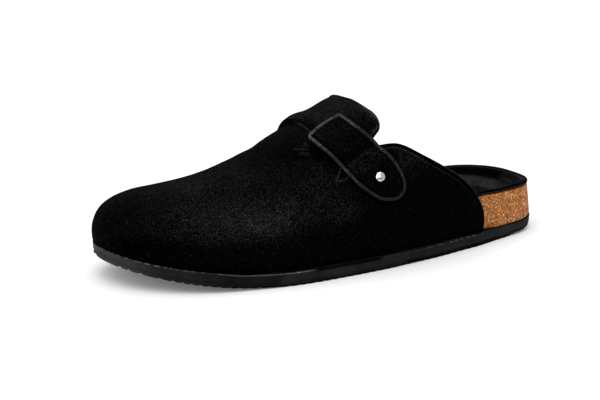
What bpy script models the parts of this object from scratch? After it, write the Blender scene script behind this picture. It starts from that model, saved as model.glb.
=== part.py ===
import math

import bmesh
import bpy
import numpy as np
from mathutils import Matrix, Vector

# All sizes are millimetres until the pieces are written: x runs from the heel to the toe,
# y to the lateral side, z up from the floor. This is a left shoe.
MM = 0.001
GAP = 0.3

# Plan of the sole
LENGTH = 270.0
HEEL_REACH = 41.0
TOE_REACH = 62.0
HEEL_FULLNESS = 2.8
TOE_FULLNESS = 2.2
TIP_SHIFT = -10.2
TIP_SHIFT_FROM = 150.0
HEEL_SHIFT = -4.0
HEEL_SHIFT_TO = 60.0

# Outsole
OUTSOLE_HEIGHT = 7.5
OUTSOLE_TOE_THIN = 1.9
OUTSOLE_SHOULDER = 0.5
TREAD_HEIGHT = 2.2
TREAD_STEP = 0.5
TOE_SPRING = 13.4
SPRING_FROM = 175.0
HEEL_BEVEL = 4.2
HEEL_BEVEL_TO = 20.0
HEEL_RISE = 2.2
HEEL_RISE_TO = 24.0
WAIST_RELIEF = 0.8
WAIST_FROM = 86.0
WAIST_TO = 126.0

# Footbed and its lining
FOOTBED_INSET = 3.1
HEEL_BASE_INSET = 0.3
HEEL_RIM_INSET = 2.2
SIDE_RIM_INSET = 0.6
SIDE_FROM = 30.0
HEEL_FLUSH_TO = 36.0
HEEL_FLUSH_END = 47.5
HEEL_RIM = 28.2
HEEL_SEAT = 17.0
FORE_RIM = 15.0
FORE_SEAT = 13.8
RIM_LEVEL_TO = 72.0
RIM_DOWN_BY = 152.0
ARCH_RISE = 3.5
ARCH_AT = 105.0
ARCH_SPAN = 28.0
LINING_GAP = 0.45
INSOLE_THICK = 1.6
LIP_HEIGHT = 2.2
LIP_INSET_HEEL = 1.9
LIP_INSET_SIDE = 0.8
LIP_INSET_INSIDE = 3.5

# Upper
WALL = 2.2
UPPER_INSET = 0.6
SWELL = 1.6
SWELL_HEIGHT = 34.0
SWELL_CENTRE = 225.0
TOE_BOX_REACH = 30.3
TOE_BOX_FULLNESS = 2.31

# Instep band, strap, piping and rivet
BAND_THICK = 3.4
BAND_EDGE = 1.0
BAND_BOW = 0.4
BAND_SIDE_THICK = 2.2
BAND_FULL_BY = 0.2
BAND_FRONT_THIN = 1.0
BAND_FRONT_FROM = 126.0
BAND_FRONT_RUN = 25.0
STRAP_THICK = 1.8
STRAP_EDGE = 0.5
STRAP_DROP = 0.17
PIPING_RADIUS = 1.0
RIVET_X = 127.2
RIVET_T = -0.682
RIVET_RADIUS = 3.1
RIVET_HEIGHT = 2.1

# Sections of the last: half widths from the centre line, crest, and fullness of the rib
STATION_COLUMNS = ("x", "lateral", "medial", "crest_y", "crest_z", "fullness")
STATIONS = (
    (0, 30.8, 33.0, -4.0, 97.0, 2.90),
    (30, 30.6, 36.0, -3.6, 97.3, 2.91),
    (60, 35.7, 36.6, -2.0, 96.5, 2.90),
    (90, 42.1, 35.2, -3.4, 93.5, 2.87),
    (120, 46.6, 37.3, -6.0, 85.3, 2.75),
    (150, 48.8, 43.0, -7.6, 74.8, 2.44),
    (180, 49.7, 47.7, -8.6, 59.9, 2.25),
    (210, 47.2, 46.9, -9.0, 50.5, 2.19),
    (240, 44.6, 43.9, -9.0, 47.2, 2.20),
    (270, 42.5, 40.0, -10.2, 47.3, 2.20),
)

# Open edge of the upper: where it starts at each part of a rib, from the sole to the crest
COLLAR_COLUMNS = ("rise", "lateral_x", "medial_x")
COLLAR = (
    (0.000, 50.4, 51.4),
    (0.015, 49.8, 51.0),
    (0.048, 51.8, 53.2),
    (0.107, 59.1, 61.5),
    (0.172, 69.9, 77.5),
    (0.251, 84.7, 94.0),
    (0.335, 97.6, 104.8),
    (0.415, 106.6, 114.0),
    (0.465, 112.6, 120.0),
    (0.488, 118.8, 123.0),
    (0.510, 126.0, 127.0),
    (0.580, 133.0, 133.0),
    (0.700, 138.5, 138.5),
    (0.850, 142.0, 142.0),
    (1.000, 143.5, 143.5),
)

# Instep band from its lateral to its medial end; t is -1 at the lateral sole, 0 on the crest
BAND_COLUMNS = ("front_x", "front_t", "back_x", "back_t")
BAND = (
    (152.4, -0.585, 125.0, -0.434),
    (150.6, -0.560, 120.6, -0.408),
    (148.2, -0.520, 119.0, -0.365),
    (147.6, -0.450, 119.4, -0.300),
    (149.4, -0.330, 121.0, -0.215),
    (151.0, -0.180, 122.3, -0.110),
    (150.8, -0.040, 122.6, 0.000),
    (151.4, 0.080, 122.2, 0.100),
    (151.6, 0.200, 121.0, 0.220),
    (151.2, 0.380, 119.5, 0.380),
    (150.2, 0.560, 118.5, 0.550),
    (149.0, 0.720, 118.5, 0.700),
)

# Strap from its square end on the band to its round end on the quarter
STRAP_COLUMNS = ("front_x", "front_t", "back_x", "back_t")
STRAP = (
    (154.6, -0.244, 135.0, -0.187),
    (152.6, -0.345, 132.2, -0.290),
    (149.6, -0.455, 128.7, -0.394),
    (145.9, -0.562, 124.9, -0.492),
    (141.0, -0.662, 120.6, -0.588),
    (135.5, -0.732, 116.2, -0.672),
    (131.0, -0.780, 112.6, -0.740),
    (126.5, -0.812, 112.6, -0.787),
    (122.5, -0.824, 116.4, -0.816),
)

# Mesh steps
OUTLINE_STEPS = 36
RIB_STEPS = 18
LENGTH_STEPS = 24
BAND_ACROSS = 26
BAND_ALONG = 7
STRAP_ALONG = 26
STRAP_END_ROWS = 1
STRAP_ACROSS = 5
PIPING_SIDES = 8

# Colour, roughness, metallic
FINISHES = {
    "outsole": ((0.022, 0.022, 0.024), 0.62, 0.0),
    "footbed": ((0.42, 0.20, 0.075), 0.85, 0.0),
    "insole": ((0.012, 0.012, 0.013), 0.8, 0.0),
    "upper": ((0.012, 0.012, 0.015), 0.9, 0.0),
    "instep_band": ((0.012, 0.012, 0.015), 0.9, 0.0),
    "strap": ((0.012, 0.012, 0.015), 0.9, 0.0),
    "strap_binding": ((0.045, 0.045, 0.05), 0.6, 0.0),
    "rivet": ((0.75, 0.75, 0.76), 0.22, 1.0),
}


def column(rows, names, name):
    place = names.index(name)
    return np.array([row[place] for row in rows], float)


def smooth_curve(xs, ys, x):
    x = np.asarray(x, float)
    step = np.diff(xs)
    slope = np.diff(ys) / step
    lean = np.empty(len(ys))
    lean[0] = slope[0]
    lean[-1] = slope[-1]
    lean[1:-1] = (slope[:-1] * step[1:] + slope[1:] * step[:-1]) / (step[1:] + step[:-1])
    i = np.clip(np.searchsorted(xs, x, side="right") - 1, 0, len(xs) - 2)
    t = np.clip((x - xs[i]) / step[i], 0.0, 1.0)
    low = ys[i] * (1 + 2 * t) * (1 - t) ** 2 + lean[i] * step[i] * t * (1 - t) ** 2
    high = ys[i + 1] * t * t * (3 - 2 * t) - lean[i + 1] * step[i] * t * t * (1 - t)
    return low + high


def station(name, x):
    xs = column(STATIONS, STATION_COLUMNS, "x")
    return smooth_curve(xs, column(STATIONS, STATION_COLUMNS, name), x)


def rows_at(rows, names, name, s):
    values = column(rows, names, name)
    return smooth_curve(np.linspace(0.0, 1.0, len(values)), values, s)


def end_cap(u, fullness):
    return (1.0 - np.clip(u, 0.0, 1.0) ** fullness) ** (1.0 / fullness)


def ease(u):
    u = np.clip(u, 0.0, 1.0)
    return u * u * (3.0 - 2.0 * u)


def centre_line(x):
    run = np.clip((x - TIP_SHIFT_FROM) / (LENGTH - TIP_SHIFT_FROM), 0.0, 1.0)
    heel = np.clip((HEEL_SHIFT_TO - x) / HEEL_SHIFT_TO, 0.0, 1.0)
    return TIP_SHIFT * run ** 2 + HEEL_SHIFT * ease(heel * 1.5)


def plan_ends(x):
    heel = end_cap((HEEL_REACH - x) / HEEL_REACH, HEEL_FULLNESS)
    toe = end_cap((x - LENGTH + TOE_REACH) / TOE_REACH, TOE_FULLNESS)
    return heel * toe


def side_edge(x, side):
    wide = np.where(side > 0, station("lateral", x), station("medial", x))
    return centre_line(x) + side * wide * plan_ends(x)


def toe_spring(x):
    return TOE_SPRING * np.clip((x - SPRING_FROM) / (LENGTH - SPRING_FROM), 0.0, None) ** 2


def tread_level(x):
    run = np.clip((x - WAIST_FROM) / (WAIST_TO - WAIST_FROM), 0.0, 1.0)
    heel = np.clip((HEEL_BEVEL_TO - x) / HEEL_BEVEL_TO, 0.0, 1.0)
    return toe_spring(x) + WAIST_RELIEF * np.sin(math.pi * run) ** 2 + HEEL_BEVEL * heel ** 2


def outsole_top(x):
    ahead = np.clip((x - SPRING_FROM) / (LENGTH - SPRING_FROM), 0.0, None)
    heel = np.clip((HEEL_RISE_TO - x) / HEEL_RISE_TO, 0.0, 1.0)
    return OUTSOLE_HEIGHT + toe_spring(x) - OUTSOLE_TOE_THIN * ahead ** 1.5 + HEEL_RISE * heel ** 2


# Closed plan outline, from the back of the heel along the lateral side and back by the medial side
def outline_loop(inset):
    turn = np.linspace(0.0, math.pi, OUTLINE_STEPS + 1)
    x = LENGTH / 2 * (1.0 - np.cos(turn))
    lateral = np.stack([x, side_edge(x, 1)], -1)
    medial = np.stack([x, side_edge(x, -1)], -1)
    loop = np.concatenate([lateral, medial[-2:0:-1]])
    ahead = np.roll(loop, -1, axis=0)
    behind = np.roll(loop, 1, axis=0)
    along = (ahead - loop) / np.linalg.norm(ahead - loop, axis=1)[:, None]
    along += (loop - behind) / np.linalg.norm(loop - behind, axis=1)[:, None]
    along /= np.linalg.norm(along, axis=1)[:, None]
    inward = np.stack([along[:, 1], -along[:, 0]], -1)
    inset = np.broadcast_to(np.asarray(inset, float), (len(loop),))
    return loop + inward * inset[:, None]


def ring(inset, height):
    plan = outline_loop(inset)
    return np.column_stack([plan, height(plan[:, 0], plan[:, 1])])


def new_piece(name, verts, faces):
    mesh = bpy.data.meshes.new(name)
    mesh.from_pydata([Vector(v) * MM for v in verts], [], faces)
    body = bmesh.new()
    body.from_mesh(mesh)
    bmesh.ops.recalc_face_normals(body, faces=body.faces)
    body.to_mesh(mesh)
    body.free()
    return dress(name, mesh)


def dress(name, mesh):
    colour, rough, metal = FINISHES[name]
    finish = bpy.data.materials.new(name)
    finish.use_nodes = True
    shader = finish.node_tree.nodes["Principled BSDF"]
    shader.inputs["Base Color"].default_value = (*colour, 1.0)
    shader.inputs["Roughness"].default_value = rough
    shader.inputs["Metallic"].default_value = metal
    mesh.materials.append(finish)
    mesh.shade_smooth()
    mesh.set_sharp_from_angle(angle=math.radians(42))
    piece = bpy.data.objects.new(name, mesh)
    shoe.objects.link(piece)
    return piece


def round_edges(piece, width, segments):
    bevel = piece.modifiers.new("rounded edges", "BEVEL")
    bevel.width = width * MM
    bevel.segments = segments
    bevel.limit_method = "ANGLE"
    bevel.angle_limit = math.radians(55)
    bevel.show_render = bevel.show_viewport


# Stack of outline rings, closed at both ends by strips across the shoe
def ring_stack(name, rings, low_height, high_height, columns):
    count = len(rings[0])
    half = count // 2
    verts = list(np.concatenate(rings))
    faces = []
    for level in range(len(rings) - 1):
        low = level * count
        for i in range(count):
            j = (i + 1) % count
            faces.append((low + i, low + j, low + count + j, low + count + i))
    for base, height in ((0, low_height), ((len(rings) - 1) * count, high_height)):
        strips = []
        for i in range(1, half):
            start = np.array(verts[base + i])
            end = np.array(verts[base + count - i])
            strip = [base + i]
            for k in range(1, columns):
                place = start + (end - start) * k / columns
                place[2] = height(place[0], place[1])
                strip.append(len(verts))
                verts.append(place)
            strip.append(base + count - i)
            strips.append(strip)
        for one, two in zip(strips, strips[1:]):
            for k in range(columns):
                faces.append((one[k], two[k], two[k + 1], one[k + 1]))
        for k in range(columns):
            faces.append((base, strips[0][k], strips[0][k + 1]))
            faces.append((base + half, strips[-1][k], strips[-1][k + 1]))
    return new_piece(name, verts, faces)


def make_outsole():
    def top(x, y):
        return outsole_top(x)

    def shoulder(x, y):
        return outsole_top(x) - OUTSOLE_SHOULDER

    def tread_top(x, y):
        return tread_level(x) + TREAD_HEIGHT

    def tread_side(x, y):
        return tread_level(x) + TREAD_HEIGHT - 0.4

    def tread_foot(x, y):
        return tread_level(x) + 0.5

    def tread(x, y):
        return tread_level(x)

    levels = (
        (1.4, tread),
        (0.9, tread_foot),
        (TREAD_STEP, tread_side),
        (0.0, tread_top),
        (0.0, shoulder),
        (OUTSOLE_SHOULDER, top),
    )
    return ring_stack("outsole", [ring(inset, height) for inset, height in levels], tread, top, 1)


def footbed_rim(x):
    fall = ease((x - RIM_LEVEL_TO) / (RIM_DOWN_BY - RIM_LEVEL_TO))
    return HEEL_RIM + (FORE_RIM - HEEL_RIM) * fall + toe_spring(x)


def footbed_seat(x, y):
    fall = ease((x - 55.0) / (RIM_DOWN_BY - 55.0))
    arch = ARCH_RISE * np.exp(-((x - ARCH_AT) / ARCH_SPAN) ** 2)
    medial = ease(0.5 - y / 40.0)
    return HEEL_SEAT + (FORE_SEAT - HEEL_SEAT) * fall + arch * medial + toe_spring(x)


# Dished top of the footbed: share of the rim's height left at a distance from the outline
def footbed_top(lift, share):
    def height(x, y):
        seat = footbed_seat(x, y)
        return seat + (np.maximum(footbed_rim(x), seat) - seat) * share + lift
    return height


CUP_COLUMNS = ("inset", "share")
CUP = ((5.6, 0.97), (8.5, 0.72), (12.0, 0.38), (16.0, 0.13), (21.0, 0.0))


# Inset along the outline: small behind the upper, clear of the wall inside it
def heel_inset(at_heel, at_side, inside):
    x = outline_loop(0.0)[:, 0]
    behind = at_heel + (at_side - at_heel) * ease(x / SIDE_FROM)
    return behind + (inside - behind) * ease((x - HEEL_FLUSH_TO) / (HEEL_FLUSH_END - HEEL_FLUSH_TO))


def make_footbed():
    def foot(x, y):
        return outsole_top(x) + GAP

    def foot_side(x, y):
        return outsole_top(x) + GAP + 0.7

    def rim_side(x, y):
        return footbed_rim(x) - 0.7

    base = heel_inset(HEEL_BASE_INSET, HEEL_BASE_INSET, FOOTBED_INSET)
    rim = heel_inset(HEEL_RIM_INSET, SIDE_RIM_INSET, FOOTBED_INSET)
    rings = [
        ring(base + 0.7, foot),
        ring(base, foot_side),
        ring(rim, rim_side),
        ring(rim + 0.7, footbed_top(0.0, 1.0)),
    ]
    for inset, share in CUP:
        rings.append(ring(inset, footbed_top(0.0, share)))
    return ring_stack("footbed", rings, foot, footbed_top(0.0, 0.0), 4)


def make_insole():
    lip = heel_inset(LIP_INSET_HEEL, LIP_INSET_SIDE, LIP_INSET_INSIDE)
    under = footbed_top(LINING_GAP, 1.0)
    rings = []
    for inset, share in reversed(CUP):
        rings.append(ring(inset, footbed_top(LINING_GAP, share)))
    rings.append(ring(lip + 0.5, under))
    rings.append(ring(lip, footbed_top(LINING_GAP + 0.6, 1.0)))
    rings.append(ring(lip, footbed_top(LINING_GAP + 1.4, 1.0)))
    rings.append(ring(lip + 0.7, footbed_top(LINING_GAP + LIP_HEIGHT, 1.0)))
    rings.append(ring(lip + 2.0, footbed_top(LINING_GAP + LIP_HEIGHT, 1.0)))
    for inset, share in CUP:
        thick = INSOLE_THICK + (LIP_HEIGHT - INSOLE_THICK) * share
        rings.append(ring(inset + 1.0 * share, footbed_top(LINING_GAP + thick, share)))
    seat = footbed_top(LINING_GAP, 0.0)
    return ring_stack("insole", rings, seat, footbed_top(LINING_GAP + INSOLE_THICK, 0.0), 4)


# One point of the upper's outer face, t from the lateral sole over the crest to the medial sole
def rib_point(x, t):
    x, t = np.broadcast_arrays(np.asarray(x, float), np.asarray(t, float))
    side = np.where(t < 0, 1, -1)
    rise = (1.0 - np.abs(t)) * math.pi / 2
    middle = centre_line(x)
    foot = middle + (side_edge(x, side) - middle) * (1.0 - UPPER_INSET / 48.0)
    crest_y = middle + (station("crest_y", x) - middle) * plan_ends(x)
    power = 2.0 / station("fullness", x)
    base = outsole_top(x) + GAP
    toe_box = end_cap((x - LENGTH + TOE_BOX_REACH) / TOE_BOX_REACH, TOE_BOX_FULLNESS)
    tall = (station("crest_z", x) - base) * toe_box
    y = crest_y + (foot - crest_y) * np.clip(np.cos(rise), 0.0, 1.0) ** power
    z = base + tall * np.clip(np.sin(rise), 0.0, 1.0) ** power
    swell = SWELL * np.sin(math.pi * np.clip((z - base) / SWELL_HEIGHT, 0.0, 1.0))
    swell = swell * np.clip((x - 40.0) / 60.0, 0.0, 1.0)
    ahead = np.maximum(x - SWELL_CENTRE, 0.0)
    aside = y - middle
    reach = np.hypot(ahead, aside) + 1e-6
    return np.stack([x + swell * ahead / reach, y + swell * aside / reach, z], -1)


def outward(along, across):
    normal = np.cross(along, across)
    return normal / np.linalg.norm(normal, axis=-1, keepdims=True)


# Point lifted off the upper's outer face, along the face's own normal
def lifted(x, t, lift):
    step = 0.25
    turn = 0.002
    along = rib_point(x + step, t) - rib_point(x - step, t)
    across = rib_point(x, np.clip(t - turn, -1, 1)) - rib_point(x, np.clip(t + turn, -1, 1))
    return rib_point(x, t) + outward(along, across) * np.asarray(lift, float)[..., None]


# Collar sampled evenly along its own length, one side of the shoe
def collar_side(name, side):
    rise = np.linspace(0.0, 1.0, 801)
    x = smooth_curve(column(COLLAR, COLLAR_COLUMNS, "rise"), column(COLLAR, COLLAR_COLUMNS, name), rise)
    points = rib_point(x, -side * (1.0 - rise))
    run = np.concatenate([[0.0], np.cumsum(np.linalg.norm(np.diff(points, axis=0), axis=1))])
    even = np.interp(np.linspace(0.0, run[-1], RIB_STEPS + 1), run, rise)
    return np.interp(even, rise, x), -side * (1.0 - even)


def upper_lines():
    lateral_x, lateral_t = collar_side("lateral_x", 1)
    medial_x, medial_t = collar_side("medial_x", -1)
    start = np.concatenate([lateral_x, medial_x[-2::-1]])
    t = np.concatenate([lateral_t, medial_t[-2::-1]])
    return start, t


# Grid of the upper from the collar to the toe, with its outward normals
def upper_grid():
    start, t = upper_lines()
    steps = np.linspace(1.0, 0.0, LENGTH_STEPS + 1)[:-1]

    def place(s, turn):
        x = LENGTH - (LENGTH - start[:, None]) * np.clip(s, 0.0, None)[None, :] ** 2
        return rib_point(x, np.clip(t[:, None] + turn, -1.0, 1.0))

    outer = place(steps, 0.0)
    along = place(steps - 0.006, 0.0) - place(steps + 0.006, 0.0)
    across = place(steps, -0.002) - place(steps, 0.002)
    normal = outward(along, across)
    normal[[0, -1], :, 2] = 0.0
    normal /= np.linalg.norm(normal, axis=-1, keepdims=True)
    return outer, normal


def make_upper():
    outer, normal = upper_grid()
    inner = outer - normal * WALL
    lines, steps = outer.shape[:2]
    size = lines * steps
    tip = rib_point(LENGTH, 0.0)
    verts = np.concatenate([outer.reshape(-1, 3), inner.reshape(-1, 3), [tip, tip - (WALL, 0.0, 0.0)]])
    tips = (2 * size, 2 * size + 1)

    def at(skin, line, step):
        return skin * size + line * steps + step

    faces = []
    for skin in (0, 1):
        for i in range(lines - 1):
            for j in range(steps - 1):
                quad = (at(skin, i, j), at(skin, i + 1, j), at(skin, i + 1, j + 1), at(skin, i, j + 1))
                faces.append(quad)
            faces.append((at(skin, i, steps - 1), at(skin, i + 1, steps - 1), tips[skin]))
    for i in range(lines - 1):
        faces.append((at(0, i, 0), at(0, i + 1, 0), at(1, i + 1, 0), at(1, i, 0)))
    for i in (0, lines - 1):
        for j in range(steps - 1):
            faces.append((at(0, i, j), at(0, i, j + 1), at(1, i, j + 1), at(1, i, j)))
        faces.append((at(0, i, steps - 1), tips[0], tips[1], at(1, i, steps - 1)))
    return new_piece("upper", verts, faces)


# Closed slab between two grids of the same size
def slab(name, low, high):
    rows, cols = low.shape[:2]
    size = rows * cols

    def at(skin, i, j):
        return skin * size + i * cols + j

    faces = []
    for skin in (0, 1):
        for i in range(rows - 1):
            for j in range(cols - 1):
                faces.append((at(skin, i, j), at(skin, i + 1, j), at(skin, i + 1, j + 1), at(skin, i, j + 1)))
    for i in range(rows - 1):
        for j in (0, cols - 1):
            faces.append((at(0, i, j), at(0, i + 1, j), at(1, i + 1, j), at(1, i, j)))
    for j in range(cols - 1):
        for i in (0, rows - 1):
            faces.append((at(0, i, j), at(0, i, j + 1), at(1, i, j + 1), at(1, i, j)))
    return new_piece(name, np.concatenate([low.reshape(-1, 3), high.reshape(-1, 3)]), faces)


# Outward bow of the band's lateral edge, from its front corner to its back corner
def band_bow(run):
    return BAND_BOW * run * (1.0 - run) ** 1.5


def band_edge(x):
    front_x, front_t, back_x, back_t = BAND[0]
    run = np.clip((front_x - x) / (front_x - back_x), 0.0, 1.0)
    return front_t + (back_t - front_t) * run - band_bow(run)


# The padding thins towards the lateral edge, where the strap presses on it, and to the front past the strap
def band_thick(x, t):
    thin = BAND_FRONT_THIN * ease((x - BAND_FRONT_FROM) / BAND_FRONT_RUN) * ease((t + 0.2) / 0.25)
    full = BAND_THICK - thin
    return BAND_SIDE_THICK + (full - BAND_SIDE_THICK) * ease((t - band_edge(x)) / BAND_FULL_BY)


def make_band():
    s = np.linspace(0.0, 1.0, BAND_ACROSS + 1)
    front_x, front_t, back_x, back_t = (rows_at(BAND, BAND_COLUMNS, name, s)[:, None] for name in BAND_COLUMNS)
    run = np.linspace(0.0, 1.0, BAND_ALONG + 1)[None, :]
    x = front_x + (back_x - front_x) * run
    t = front_t + (back_t - front_t) * run - band_bow(run) * (1.0 - s[:, None]) ** 6
    low = lifted(x, t, np.full(x.shape, GAP))
    high = lifted(x, t, GAP + band_thick(x, t))
    piece = slab("instep_band", low, high)
    round_edges(piece, BAND_EDGE, 2)
    return piece


# Height of the strap's underside above the upper: over the band, then down on the quarter
def strap_seat(x, t):
    down = ease((band_edge(x) - 0.004 - t) / STRAP_DROP)
    return GAP + (band_thick(x, t) + GAP) * (1.0 - down)


def strap_cross(s, across):
    front_x, front_t, back_x, back_t = (rows_at(STRAP, STRAP_COLUMNS, name, s) for name in STRAP_COLUMNS)
    x = front_x + (back_x - front_x) * across
    t = front_t + (back_t - front_t) * across
    return x, t


# Outline of the strap's piping as places on the upper's face: front edge, round end, back edge, square end
def piping_plan():
    s = np.linspace(0.0, 1.0, STRAP_ALONG + 1)
    front = np.stack(strap_cross(s, 0.0), -1)
    back = np.stack(strap_cross(s, 1.0), -1)[::-1]
    tip = np.stack(strap_cross(np.array([1.0]), np.array([0.5])), -1) + np.array([[0.0, -0.004]])
    end = np.stack(strap_cross(np.zeros(4), np.array([0.8, 0.6, 0.4, 0.2])), -1)
    end[:, 1] += (0.006, 0.009, 0.009, 0.006)
    path = np.concatenate([front, tip, back, end])
    return path[:, 0], path[:, 1]


def piping_frame():
    x, t = piping_plan()
    path = lifted(x, t, strap_seat(x, t) + STRAP_THICK / 2)
    up = lifted(x, t, np.full(x.shape, 1.0)) - rib_point(x, t)
    along = np.roll(path, -1, axis=0) - np.roll(path, 1, axis=0)
    side = outward(along, up)
    return path, side, outward(side, along)


# The strap ends one gap inside its piping
def make_strap():
    x, t = piping_plan()
    side = piping_frame()[1]
    across = (rib_point(x, t + 0.002) - rib_point(x, t - 0.002)) / 0.004
    ahead = (rib_point(x + 0.25, t) - rib_point(x - 0.25, t)) / 0.5
    trim = np.full(x.shape, PIPING_RADIUS + GAP)
    trim[[0, 2 * STRAP_ALONG + 2]] *= 1.5
    plan = []
    for i, move in enumerate(-side * trim[:, None]):
        shift = np.linalg.lstsq(np.stack([ahead[i], across[i]], -1), move, rcond=None)[0]
        plan.append((x[i] + shift[0], t[i] + shift[1]))
    rows = STRAP_ALONG - STRAP_END_ROWS + 1
    front = np.array(plan[:rows])
    back = np.array(plan[2 * STRAP_ALONG + 2:STRAP_ALONG + 1:-1])[:rows]
    run = np.linspace(0.0, 1.0, STRAP_ACROSS + 1)
    grid = front[:, None, :] + (back - front)[:, None, :] * run[None, :, None]
    x, t = grid[..., 0], grid[..., 1]
    seat = strap_seat(x, t)
    piece = slab("strap", lifted(x, t, seat), lifted(x, t, seat + STRAP_THICK))
    round_edges(piece, STRAP_EDGE, 1)
    return piece


def make_piping():
    path, side, up = piping_frame()
    turn = np.linspace(0.0, 2 * math.pi, PIPING_SIDES + 1)[:-1] + math.pi / PIPING_SIDES
    verts = []
    for place, away, lift in zip(path, side, up):
        for angle in turn:
            verts.append(place + PIPING_RADIUS * (math.cos(angle) * away + math.sin(angle) * lift))
    count = len(path)
    faces = []
    for i in range(count):
        j = (i + 1) % count
        for k in range(PIPING_SIDES):
            m = (k + 1) % PIPING_SIDES
            row, ahead = i * PIPING_SIDES, j * PIPING_SIDES
            faces.append((row + k, row + m, ahead + m, ahead + k))
    return new_piece("strap_binding", verts, faces)


# Domed head turned about its own axis, standing square on the strap
def make_rivet():
    body = bmesh.new()
    profile = ((RIVET_RADIUS, 0.0), (RIVET_RADIUS, 0.45))
    places = [body.verts.new((r * MM, 0.0, z * MM)) for r, z in profile]
    for k in range(1, 6):
        angle = k / 6.0 * math.pi / 2
        r = (RIVET_RADIUS - 0.25) * math.cos(angle)
        z = 0.45 + (RIVET_HEIGHT - 0.45) * math.sin(angle)
        places.append(body.verts.new((r * MM, 0.0, z * MM)))
    edges = [body.edges.new(pair) for pair in zip(places, places[1:])]
    bmesh.ops.spin(body, geom=places + edges, cent=(0, 0, 0), axis=(0, 0, 1), angle=2 * math.pi,
                   steps=18, use_merge=True)
    bmesh.ops.holes_fill(body, edges=body.edges, sides=0)
    bmesh.ops.recalc_face_normals(body, faces=body.faces)
    mesh = bpy.data.meshes.new("rivet")
    body.to_mesh(mesh)
    body.free()
    x = np.array([RIVET_X])
    t = np.array([RIVET_T])
    seat = strap_seat(x, t) + STRAP_THICK + GAP
    place = lifted(x, t, seat)[0]
    up = Vector(lifted(x, t, seat + 1.0)[0] - place).normalized()
    turned = up.to_track_quat("Z", "Y").to_matrix().to_4x4()
    mesh.transform(Matrix.Translation(Vector(place) * MM) @ turned)
    return dress("rivet", mesh)


for old in list(bpy.data.objects):
    bpy.data.objects.remove(old, do_unlink=True)

shoe = bpy.data.collections.new("velvet_mule")
bpy.context.scene.collection.children.link(shoe)

pieces = [
    make_outsole(),
    make_footbed(),
    make_insole(),
    make_upper(),
    make_band(),
    make_strap(),
    make_piping(),
    make_rivet(),
]

# The whole shoe stands on the floor, its box centred on the origin
low = Vector((math.inf, math.inf, math.inf))
high = -low
for piece in pieces:
    for vertex in piece.data.vertices:
        low = Vector(map(min, low, vertex.co))
        high = Vector(map(max, high, vertex.co))
shift = Matrix.Translation((-(low.x + high.x) / 2, -(low.y + high.y) / 2, -low.z))
for piece in pieces:
    piece.data.transform(shift)
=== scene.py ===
import math

import bmesh
import bpy
import numpy as np
from mathutils import Matrix, Vector, noise


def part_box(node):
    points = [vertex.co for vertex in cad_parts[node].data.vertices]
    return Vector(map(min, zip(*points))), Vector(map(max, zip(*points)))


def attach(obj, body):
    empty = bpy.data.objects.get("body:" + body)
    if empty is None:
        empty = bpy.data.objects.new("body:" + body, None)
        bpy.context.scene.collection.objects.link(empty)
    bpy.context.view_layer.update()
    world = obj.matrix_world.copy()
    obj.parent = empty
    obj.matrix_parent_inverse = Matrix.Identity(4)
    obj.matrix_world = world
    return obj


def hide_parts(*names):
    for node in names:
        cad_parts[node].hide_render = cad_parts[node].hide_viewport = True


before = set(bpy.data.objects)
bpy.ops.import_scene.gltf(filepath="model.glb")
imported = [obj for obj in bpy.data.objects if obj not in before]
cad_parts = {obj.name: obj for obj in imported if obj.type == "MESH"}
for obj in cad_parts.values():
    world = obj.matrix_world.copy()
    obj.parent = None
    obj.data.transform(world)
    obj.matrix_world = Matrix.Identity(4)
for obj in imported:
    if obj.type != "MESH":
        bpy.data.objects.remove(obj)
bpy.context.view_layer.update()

scene = bpy.context.scene
mm = 0.001

# the left shoe's last, in millimetres: x from the heel to the toe, y to the lateral side, z up
last = {
    "length": 270.0,
    "heelReach": 41.0,
    "heelFullness": 2.8,
    "toeReach": 62.0,
    "toeFullness": 2.2,
    "tipShift": -10.2,
    "tipShiftFrom": 150.0,
    "heelShift": -4.0,
    "heelShiftTo": 60.0,
    "heelShiftPull": 1.5,
    "footInset": 0.6,
    "footInsetOver": 48.0,
    "swell": 1.6,
    "swellHeight": 34.0,
    "swellFrom": 40.0,
    "swellRun": 60.0,
    "swellCentre": 225.0,
    "toeBoxReach": 30.3,
    "toeBoxFullness": 2.31,
    "columns": ("x", "lateral", "medial", "crestY", "crestZ", "fullness"),
    "sections": (
        (0, 30.8, 33.0, -4.0, 97.0, 2.90),
        (30, 30.6, 36.0, -3.6, 97.3, 2.91),
        (60, 35.7, 36.6, -2.0, 96.5, 2.90),
        (90, 42.1, 35.2, -3.4, 93.5, 2.87),
        (120, 46.6, 37.3, -6.0, 85.3, 2.75),
        (150, 48.8, 43.0, -7.6, 74.8, 2.44),
        (180, 49.7, 47.7, -8.6, 59.9, 2.25),
        (210, 47.2, 46.9, -9.0, 50.5, 2.19),
        (240, 44.6, 43.9, -9.0, 47.2, 2.20),
        (270, 42.5, 40.0, -10.2, 47.3, 2.20),
    ),
}

# heights of the sole that everything else stands on
soleLevels = {
    "height": 7.5,
    "toeThin": 1.9,
    "toeSpring": 13.4,
    "springFrom": 175.0,
    "heelBevel": 4.2,
    "heelBevelTo": 20.0,
    "heelRise": 2.2,
    "heelRiseTo": 24.0,
    "waistRelief": 0.3,
    "waistFrom": 86.0,
    "waistTo": 126.0,
    "gap": 0.3,
}


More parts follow.
